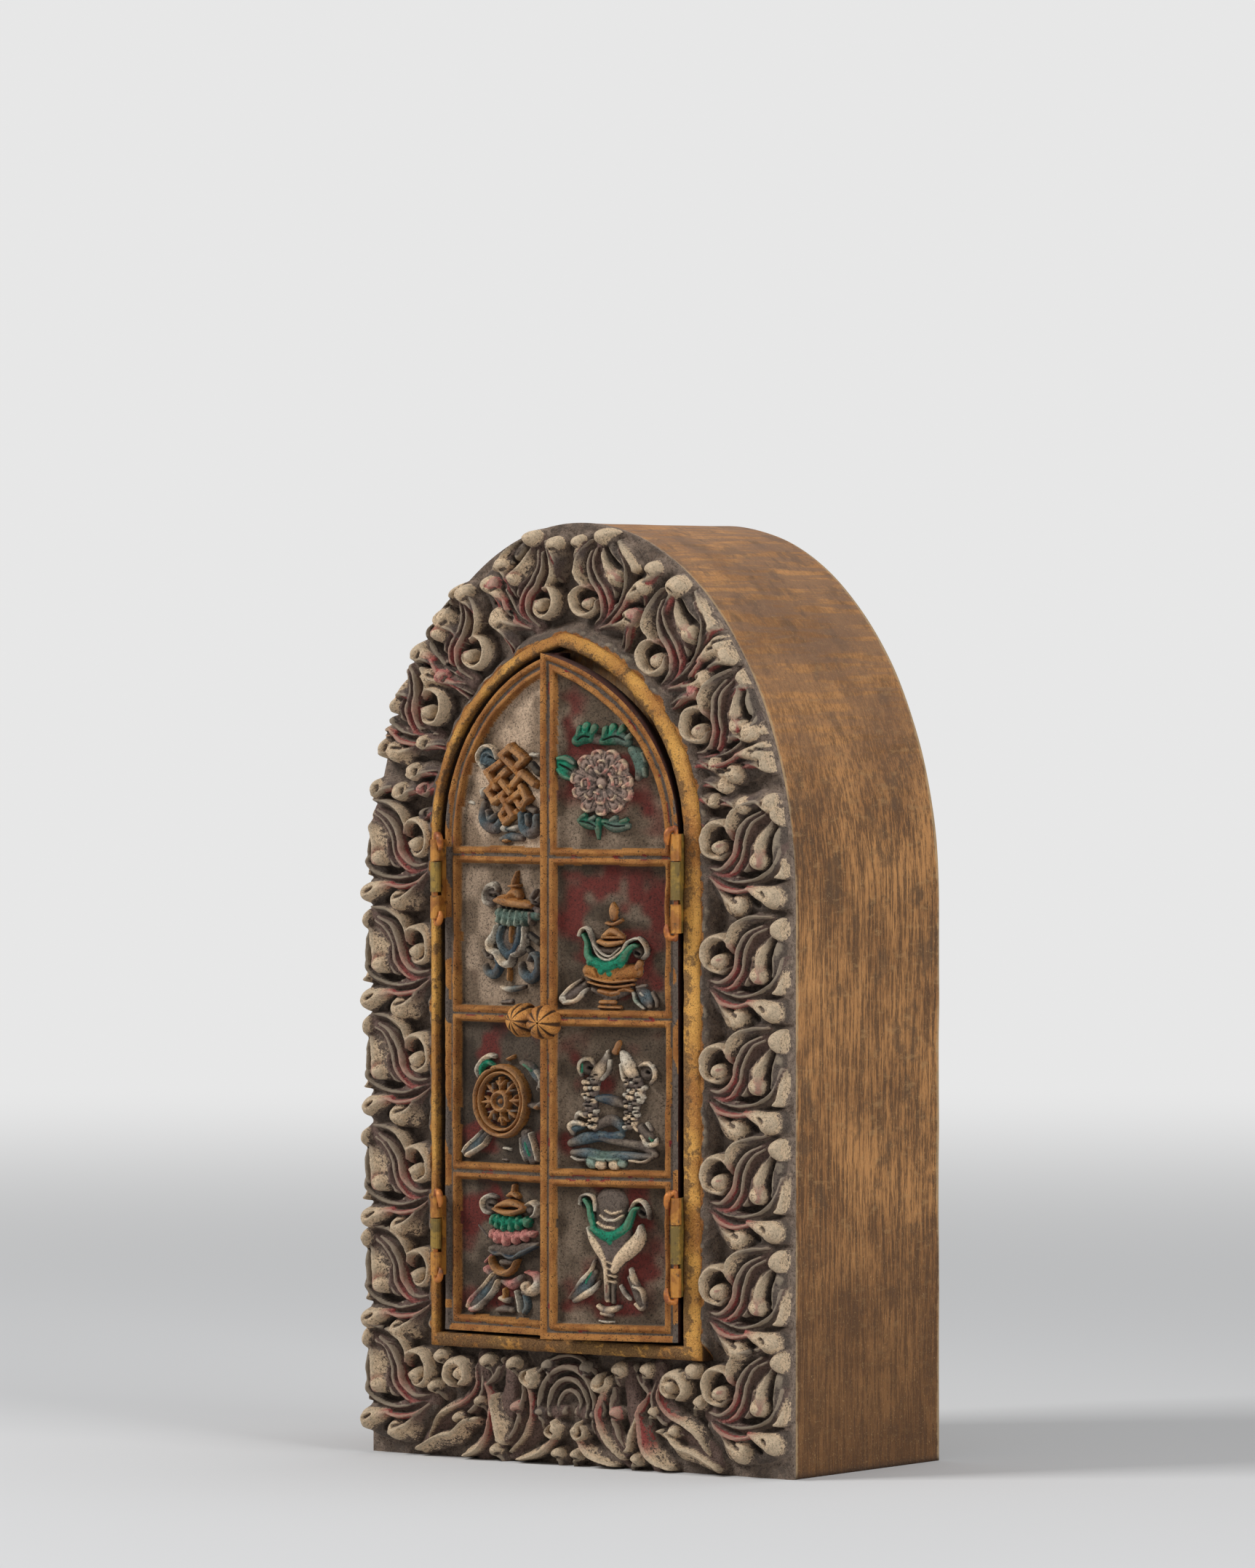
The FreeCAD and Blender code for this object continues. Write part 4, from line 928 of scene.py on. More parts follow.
def carve_bulb(field, bulb, side, hub=BULB_HUB, leaf=BULB_LEAF):
    """Bulb and the curved leaf that runs from it towards the hub; a long leaf has a rib beside it."""
    x, z, radius, height, tone = bulb
    way = np.array(hub) - (x, z)
    way = way / np.hypot(*way)
    bend = side * np.array([way[1], -way[0]])
    start = np.array([x, z])
    path = [start, start + 0.43 * leaf * way + 1.6 * bend, start + leaf * way]
    widths = [1.7 * radius, 1.3 * radius, 1.6]
    field.stroke(path, widths, [0.94 * height, 0.82 * height, 6.4], "left", tone + "sm", side)
    if leaf > FOOT_LEAF:
        rib = [point - 2.6 * bend for point in path]
        field.stroke(rib, [2.4, 2.6, 1.4], [8.4, 8.2, 6.0], "round", "mpm", side)
    field.ball(x, z, radius, height, tone)
    notch = start + way * radius * 0.5
    field.gouge([notch - bend, notch + bend], 1.4, 3.0, side, "d")
    back = start - way * radius * 0.2 + bend * radius * 1.25
    field.gouge([back, back + way * 4.0], [1.6, 2.4], 4.0, side, "d")


def carve_border(field):
    """All the carving, on whichever points the field has."""
    seed = UNIT_SEED
    for side in (-1, 1):
        for height in VOLUTE_HEIGHTS:
            seed += 1
            carve_unit(field, (VOLUTE_X, height), side, 0.0, 1.0, seed)
        for x, z, turn_degrees, scale in ARCH_VOLUTES[side]:
            seed += 1
            carve_unit(field, (x, z), side, turn_degrees, scale, seed)
        for bulb in ARCH_BULBS[side]:
            carve_bulb(field, bulb, side)
    carve_foot(field)
    lumps = field.noise(6.0, 5) * 0.5
    dents = field.noise(1.8, 6) * 0.3
    edge = np.clip(outer_distance(field.x, field.z) / EDGE_ROUND, 0, 1)
    rounding = np.sqrt(1 - (1 - edge) ** 2)
    field.height = (blurred(field.height, 1) + lumps + dents) * (0.2 + 0.8 * rounding)
    field.height = np.clip(field.height + 0.9, 0.6, RELIEF)


def outer_distance(x, z):
    """Distance from the block's outer edge, roughly, inside it."""
    half = BLOCK_WIDTH / 2
    across = np.abs(x) / half
    up = np.clip(z - BLOCK_SPRING, 0, None) / ARCH_RISE
    radius = np.maximum(np.hypot(across, up), 1e-6)
    size = (half * across ** 2 + ARCH_RISE * up ** 2) / np.maximum(across ** 2 + up ** 2, 1e-6)
    return np.where(z > BLOCK_SPRING, (1 - radius) * size, half - np.abs(x))


def bank_by_frame(field):
    """Ground left high beside the frame, with gold paint spilled over it."""
    ragged = field.noise(5.0, 7)
    away = frame_distance(field.x, field.z) + ragged * 1.2
    share = 1 - smooth_step(away, 0.5, 6.0)
    share = share * smooth_step(field.z, 45.0, 54.0)
    field.height = np.maximum(field.height, 8.2 * share)
    spill = (away < 0.3 + field.noise(2.2, 8) * 0.8) & (field.z > 46)
    field.gold = np.where(spill, 1.0, field.gold)
    field.crest = np.where(spill, 1.0, field.crest)


def border_grid(inner, outer, spacing):
    """Grid of (x, z) points between an inner and an outer line of points."""
    longest = np.hypot(*(outer - inner).T).max()
    shares = np.linspace(0, 1, int(longest / spacing) + 1)
    return inner[:, None] + (outer - inner)[:, None] * shares[None, :, None]


def side_lines(side, spacing):
    """Inner and outer lines of a side of the border."""
    low = DOORWAY_BOTTOM - FRAME_BAR
    z = np.linspace(low, DOORWAY_SPRING, int((DOORWAY_SPRING - low) / spacing) + 1)
    inner = np.full(len(z), FRAME_X + side * (DOORWAY_HALF + FRAME_BAR - UNDER_FRAME))
    outer = side * block_half(z)
    return np.stack([inner, z], 1), np.stack([outer, z], 1)


def arch_lines(spacing):
    """Inner and outer lines of the arch of the border, from right to left."""
    right = pointed_arc(DOORWAY_HALF + (FRAME_BAR - UNDER_FRAME), int(HALF_ARCH / spacing))
    left = (right[::-1] * (-1, 1))[1:]
    inner = np.vstack([right, left]) + (FRAME_X, 0)
    first = math.asin((DOORWAY_SPRING - BLOCK_SPRING) / ARCH_RISE)
    turns = np.linspace(first, math.pi - first, len(inner))
    outer = np.stack([BLOCK_WIDTH / 2 * np.cos(turns), BLOCK_SPRING + ARCH_RISE * np.sin(turns)], 1)
    return inner, outer


def foot_lines(spacing):
    """Lower and upper lines of the foot of the border, from left to right."""
    half = BLOCK_WIDTH / 2
    x = np.linspace(-half, half, int(BLOCK_WIDTH / spacing) + 1)
    top = DOORWAY_BOTTOM - FRAME_BAR
    return np.stack([x, np.zeros(len(x))], 1), np.stack([x, np.full(len(x), top)], 1)


def make_border():
    """Four carved pieces that stand for the border's four CAD nodes."""
    spacing = grid_spacing("border")
    lines = {
        "border_left": side_lines(-1, spacing),
        "border_right": side_lines(1, spacing),
        "border_arch": arch_lines(spacing),
        "border_foot": foot_lines(spacing),
    }
    flips = {"border_left": True, "border_right": False, "border_arch": False, "border_foot": True}
    for node, (inner, outer) in lines.items():
        grid = border_grid(inner, outer, spacing)
        field = Field(grid[..., 0], grid[..., 1], "g", 0.3)
        bank_by_frame(field)
        carve_border(field)
        points = np.stack([field.x, GROUND_Y - field.height, field.z], -1)
        back = edge_points(points)
        back[:, 1] = GROUND_Y + BORDER_SEAT
        values = attributes(field, spacing)
        # Painted shade in the recesses fades out near the block's outer edge.
        values["shade_depth"] *= smooth_step(outer_distance(field.x, field.z), 1.0, 6.0)
        piece = relief_piece("carved_" + node, points, values, back, "cabinet",
                             carving_paint, flips[node])
        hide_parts(node)


# Gold frame

# Its section: share of the way across, and how far it stands out from the block.
FRAME_PROFILE = ((0.0, 0.0), (0.0, 6.0), (0.0, 9.6), (0.02, 10.6), (0.08, 11.3), (0.2, 11.7), (0.36, 11.7),
                 (0.52, 11.6), (0.68, 11.3), (0.82, 10.8), (0.92, 10.2), (0.98, 9.2), (1.0, 7.4), (1.0, 3.6),
                 (1.0, 0.0))
# Steps along the sill, each side and each half of the arch.
FRAME_STEPS = (240, 400, 200)


def frame_values(points):
    """Paint values of the frame: worn on its crest, bare along its inner side."""
    proud = GROUND_Y - points[:, 1]
    away = frame_distance(points[:, 0], points[:, 2])
    return {"crest": smooth_step(proud, 5.5, 9.5), "inner": 1 - smooth_step(away, -FRAME_BAR, -2.0)}


def make_frame():
    """Lumpy gold moulding round the doorway."""
    inside = doorway_loop(0.0, *FRAME_STEPS)
    outside = doorway_loop(FRAME_BAR, *FRAME_STEPS, FRAME_X)
    middle = (inside + outside) / 2
    loops = []
    for across, proud in FRAME_PROFILE:
        flat = inside * (1 - across) + outside * across
        wave = noise(flat[:, 0], proud, flat[:, 1], 12.0, 31) * 0.36
        wave = wave + noise(flat[:, 0], proud, flat[:, 1], 4.0, 32) * 0.14
        away = flat - middle
        length = np.maximum(np.hypot(*away.T), 0.3)
        inset = np.abs(wave) * (proud > 0)
        loop = at_y(flat - away / length[:, None] * inset[:, None], GROUND_Y - proud)
        if proud > 0:
            loop[:, 1] = np.maximum(FRAME_Y, loop[:, 1] + wave * 0.7 + 0.2)
        loops.append(loop)
    piece = loops_piece("gold_moulding", loops, frame_values, "cabinet", gold_paint)
    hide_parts("door_frame")


# Casing

# Softened edge: how far in from the outline, and how far from the face.
SOFT_EDGE = ((0.9, 0.0), (0.35, 0.15), (0.1, 0.45), (0.0, 1.0))
# Steps along the base, each side and each half of the arch.
CASING_STEPS = (110, 150, 110)
DENT_DEPTH = 0.22
DENT_SIZE = 17.0
DENT_MIDDLE = 150


def dented(loop):
    """Loop round the block pushed in by shallow dents, with its base left flat."""
    dent = DENT_DEPTH + noise(loop[:, 0], loop[:, 1], loop[:, 2], DENT_SIZE, 41) * DENT_DEPTH
    up = loop[:, 2] - DENT_MIDDLE
    size = np.hypot(loop[:, 0], up)
    above = loop[:, 2] > 1.5
    in_arch = loop[:, 2] > BLOCK_SPRING + 2
    loop[:, 0] -= np.where(above, loop[:, 0] / size * dent, 0)
    loop[:, 2] -= np.where(above, up / size * dent * in_arch, 0)
    return loop


def niche_loops(front):
    """Rebate behind the doors, and the niche inside its ledge."""
    doorway = doorway_loop(0.0, *CASING_STEPS)
    niche = doorway_loop(-LEDGE, *CASING_STEPS)
    ledge = front + REBATE_DEPTH
    wall = front + NICHE_DEPTH
    loops = [at_y(doorway, front), None, at_y(doorway, front), at_y(doorway, ledge)]
    loops += [None, at_y(doorway, ledge), at_y(niche, ledge), None]
    loops += [at_y(niche, y) for y in np.linspace(ledge, wall, 12)]
    return loops + [None, at_y(niche, wall), at_y(niche * 0.999 + (0, 0.1), wall)]


def casing_values(points):
    """Paint values of the block: its front and back rims, top, base line, and the foot that takes painted
    shade.
    """
    return {
        "rim": smooth_step(np.abs(points[:, 1]), 44.0, 51.0),
        "top": smooth_step(points[:, 2], BLOCK_SPRING + 20, BLOCK_HEIGHT - 30),
        "low": 1 - smooth_step(points[:, 2], 0.5, 2.5),
        # Painted shade, full at the bottom and gone by 190 mm up.
        "foot": 1 - smooth_step(points[:, 2], 0.0, 190.0),
    }


def make_casing():
    """Wooden block with softened edges and the niche behind the doors."""
    front = GROUND_Y
    back = -GROUND_Y
    loops = [at_y(block_loop(inset, *CASING_STEPS), back - depth) for inset, depth in SOFT_EDGE]
    loops += [at_y(block_loop(0.0, *CASING_STEPS), y) for y in np.linspace(back - 1.8, front + 1.8, 60)]
    for inset, depth in reversed(SOFT_EDGE):
        loops.append(at_y(block_loop(inset * 0.4, *CASING_STEPS), front + depth * 0.4))
    loops = [dented(loop) for loop in loops]
    loops += [None, loops[-1].copy()] + niche_loops(front)
    piece = loops_piece("painted_block", loops, casing_values, "cabinet", wood_paint, (True, True))
    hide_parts("casing")


# Doors

# Dust on the panels, from the lowest one up.
PANEL_DUST = {1: (0.35, 0.42, 0.36, 0.5), -1: (0.3, 0.4, 0.9, 0.75)}
# Brightness of each panel's dust, from the lowest one up; the dark factor of the left door's wheel panel is
# partly painted shadow of the knob.
DUST_AND_SHADOW_BRIGHTNESS = {1: (1.05, 1.0, 0.8, 1.35), -1: (0.66, 0.44, 1.8, 2.9)}
DARK_DUST = linear(92, 78, 64)
PALE_DUST = linear(134, 116, 98)
ROSY_TONE = linear(108, 50, 44)
DOOR_SEEDS = {1: 50, -1: 60}
GROOVE_DEPTH = 1.4


def door_depths(x, z):
    """Distances inwards from the door's edge and from its nearest sunk panel."""
    radius = DOOR_HALF + ARCH_SHIFT
    to_arch = np.where(z > DOORWAY_SPRING, radius - np.hypot(x + ARCH_SHIFT, z - DOORWAY_SPRING), 50.0)
    to_edge = np.minimum(np.minimum(DOOR_HALF - x, x - MEETING_EDGE),
                         np.minimum(z - DOORWAY_BOTTOM - FOOT_GAP, to_arch))
    bars = [DOORWAY_BOTTOM + FOOT_GAP + STILE]
    for height in RAIL_HEIGHTS:
        bars += [height - RAIL / 2, height + RAIL / 2]
    bars.append(DOORWAY_APEX)
    to_pocket = np.full(x.shape, 99.0)
    for low, high in zip(bars[::2], bars[1::2]):
        outside = np.maximum(STILE - to_edge, np.maximum(low - z, z - high))
        to_pocket = np.minimum(to_pocket, outside)
    return to_edge, to_pocket


def bead(distance, width):
    """Rounded bead from 0 to width, as a share of its height."""
    place = np.clip(2 * distance / width - 1, -1, 1)
    return np.sqrt(np.clip(1 - np.abs(place) ** 2.6, 0, 1))


def door_grid(spacing):
    """(x, z) places over the front of a right door that stands shut."""
    low = DOORWAY_BOTTOM + FOOT_GAP
    radius = DOOR_HALF + ARCH_SHIFT
    top = DOORWAY_SPRING + math.sqrt(radius ** 2 - (MEETING_EDGE + ARCH_SHIFT) ** 2)
    z = np.linspace(low, top, int((top - low) / spacing) + 1)
    up = np.clip(z - DOORWAY_SPRING, 0, None)
    outer = np.minimum(np.sqrt(np.clip(radius ** 2 - up ** 2, 0, None)) - ARCH_SHIFT, DOOR_HALF)
    outer = np.maximum(outer, MEETING_EDGE + 0.01)
    inner_line = np.stack([np.full(len(z), MEETING_EDGE), z], 1)
    grid = border_grid(inner_line, np.stack([outer, z], 1), spacing)
    return grid[..., 0], grid[..., 1]


def panel_paint(field, to_pocket, side, seed):
    """Colours of the sunk panels: dusty, with the red paint showing in patches, and the wheel panel darkened
    partly as painted shadow of the knob.
    """
    below = np.zeros(field.z.shape)
    for height in (DOORWAY_BOTTOM + FOOT_GAP + STILE - RAIL / 2,) + RAIL_HEIGHTS:
        reach = np.exp(-np.clip(field.z - height - RAIL / 2, 0, None) / 3.0)
        below = np.maximum(below, reach * (field.z > height))
    walls = np.clip(-to_pocket / 6.0, 0, 1)
    patches = field.noise(13.0, seed + 3) * 0.6 + field.noise(5.0, seed + 6) * 0.3
    level = np.searchsorted(RAIL_HEIGHTS, field.z)
    bias = np.array(PANEL_DUST[side])[level]
    dusty = smooth_step(0.5 + bias + patches - walls * 0.2 + below * 0.8, 0.3, 0.8)[..., None]
    rosy = smooth_step(patches - bias * 0.6, 0.15, -0.45)[..., None]
    bare = TONES["k"] * (1 - rosy) + ROSY_TONE * rosy
    shade = smooth_step(field.noise(7.0, seed + 7), -0.4, 0.5)[..., None]
    dust = DARK_DUST * (1 - shade) + PALE_DUST * shade
    # Each panel's dust brightness; on the wheel panel the darkening is partly painted shadow of the knob.
    dust = dust * np.array(DUST_AND_SHADOW_BRIGHTNESS[side])[level][..., None]
    return bare * (1 - dusty) + dust * dusty


def door_field(side, spacing):
    """Grid of the door's front with its beads, grooves and sunk panels."""
    x, z = door_grid(spacing)
    field = Field(x, z, "k", 0.0)
    seed = DOOR_SEEDS[side]
    shake = field.noise(14.0, seed) * 0.35 + field.noise(4.0, seed + 1) * 0.16
    to_edge, to_pocket = door_depths(x, z)
    to_pocket = to_pocket + shake
    on_bar = to_pocket > 0
    on_bead = on_bar & (to_pocket < BEAD_INNER)
    on_edge = (to_edge < BEAD_OUTER) & (to_pocket >= BEAD_INNER)
    inner = bead(to_pocket, BEAD_INNER) * (to_pocket < BEAD_INNER)
    outer = bead(to_edge + 0.5 + shake * 0.6, BEAD_OUTER + 0.5)
    groove_height = PANEL_DEPTH - GROOVE_DEPTH
    height = np.where(on_bar, groove_height, 0.0)
    side_of_bead = np.minimum(1, 0.25 + to_pocket / 0.5)
    bead_height = PANEL_DEPTH * (0.55 + 0.45 * inner) * side_of_bead
    height = np.where(on_bead, np.maximum(height * (to_pocket > 1.3), bead_height), height)
    edge_height = np.maximum(groove_height, PANEL_DEPTH * (0.6 + 0.4 * outer))
    height = np.where(on_edge, edge_height, height)
    gold = on_bead | on_edge
    groove = on_bar & ~gold
    red = (np.abs(to_pocket - BEAD_INNER) < 0.35) & (field.noise(3.0, seed + 2) > 0.5)
    hinged = (DOOR_HALF - x < BEAD_OUTER) & (field.noise(9.0, seed + 5) > -0.15)
    for where, tone in ((gold, "o"), (groove, "g"), (hinged, "g"), (red, "r")):
        field.tone = np.where(where[..., None], TONES[tone], field.tone)
    field.tone = np.where(on_bar[..., None], field.tone, panel_paint(field, to_pocket, side, seed))
    field.gold = np.where(hinged | red, 0.0, gold.astype(float))
    field.crest = np.where(on_bar, np.where(groove, 0.35, 0.9), 0.75)
    field.height = blurred(height, 1) + field.noise(3.0, seed + 4) * 0.1
    field.height = np.clip(field.height, -0.2, PANEL_DEPTH)
    return field


def swung(points, side):
    """Points of a door, mirrored for the left one, turned to where the door stands."""
    result = points.copy()
    result[..., 0] = DOOR_X + side * points[..., 0]
    angle = math.radians(RIGHT_AJAR if side > 0 else -LEFT_AJAR)
    axis = np.array([DOOR_X + side * AXIS_REACH, AXIS_Y])
    dx = result[..., 0] - axis[0]
    dy = result[..., 1] - axis[1]
    result[..., 0] = axis[0] + dx * math.cos(angle) - dy * math.sin(angle)
    result[..., 1] = axis[1] + dx * math.sin(angle) + dy * math.cos(angle)
    return result


def make_door(name):
    """Painted door with beads, grooves and sunk panels."""
    side = SIDES[name]
    spacing = grid_spacing("door")
    field = door_field(side, spacing)
    points = np.stack([field.x, PANEL_FLOOR - field.height, field.z], -1)
    back = edge_points(points)
    back[:, 0] += EDGE_BEVEL * (back[:, 0] < MEETING_EDGE + 0.02)
    back[:, 1] = DOOR_BACK
    piece = relief_piece("painted_" + name + "_door", swung(points, side), attributes(field, spacing),
                         swung(back, side), name + "_door", door_paint, side > 0, True)
    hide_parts(name + "_board")


# Knobs

# Half of a knob's section: radius, and distance from the door.
KNOB_PROFILE = ((3.4, 0.0), (3.2, 1.6), (4.6, 3.0), (6.4, 5.0), (7.1, 7.6), (6.9, 10.2), (5.9, 12.6),
                (4.2, 14.6), (2.4, 15.7), (1.0, 16.2), (0.2, 16.3))
KNOB_GROOVES = 8
KNOB_REACH = 7.35
KNOB_SEEDS = {1: 71, -1: 72}


def knob_grooves(turns, random):
    """Depth share of the dark grooves round a knob, spaced and cut unevenly."""
    shifts = random.uniform(-0.28, 0.28, KNOB_GROOVES)
    cuts = random.uniform(0.09, 0.17, KNOB_GROOVES)
    grooves = np.zeros(len(turns))
    for index, (shift, cut) in enumerate(zip(shifts, cuts)):
        middle = 2 * math.pi * (index + shift) / KNOB_GROOVES
        gap = np.abs((turns - middle + math.pi) % (2 * math.pi) - math.pi)
        grooves = np.maximum(grooves, np.exp(-(gap / cut) ** 2))
    return grooves


def make_knob(name):
    """Gold bud pinched to a tip, with dark grooves running to it."""
    side = SIDES[name]
    rows = spline(KNOB_PROFILE, 44)
    turns = np.linspace(0, 2 * math.pi, 97)
    seed = KNOB_SEEDS[side]
    grooves = knob_grooves(turns, np.random.default_rng(seed))
    reach = rows[:, 1:2]
    bulge = smooth_step(reach, 2.5, 5.5)
    depth = grooves[None] * bulge * (0.13 + 0.07 * smooth_step(reach, 8, 14))
    radius = rows[:, 0:1] * (1 - depth)
    lumps = noise(np.cos(turns)[None] * radius, reach, np.sin(turns)[None] * radius, 3.0, seed) * 0.4
    radius = np.minimum(radius + lumps * bulge, KNOB_REACH)
    centre = MEETING_EDGE + KNOB_INSETS[name]
    points = np.stack([
        centre + radius * np.cos(turns),
        np.broadcast_to(DOOR_FRONT - reach, radius.shape),
        KNOB_HEIGHT + KNOB_LIFT + radius * np.sin(turns),
    ], -1)
    crest = np.broadcast_to(1 - 0.8 * grooves[None], radius.shape)
    flat = swung(points, side).reshape(-1, 3)
    cells = grid_faces(points.shape[0], points.shape[1], side < 0)
    values = flat_values({"crest": crest, "inner": crest * 0})
    piece = new_piece("gold_bud_" + name, flat, cells, values, name + "_door", bud_paint)
    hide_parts(name + "_knob")


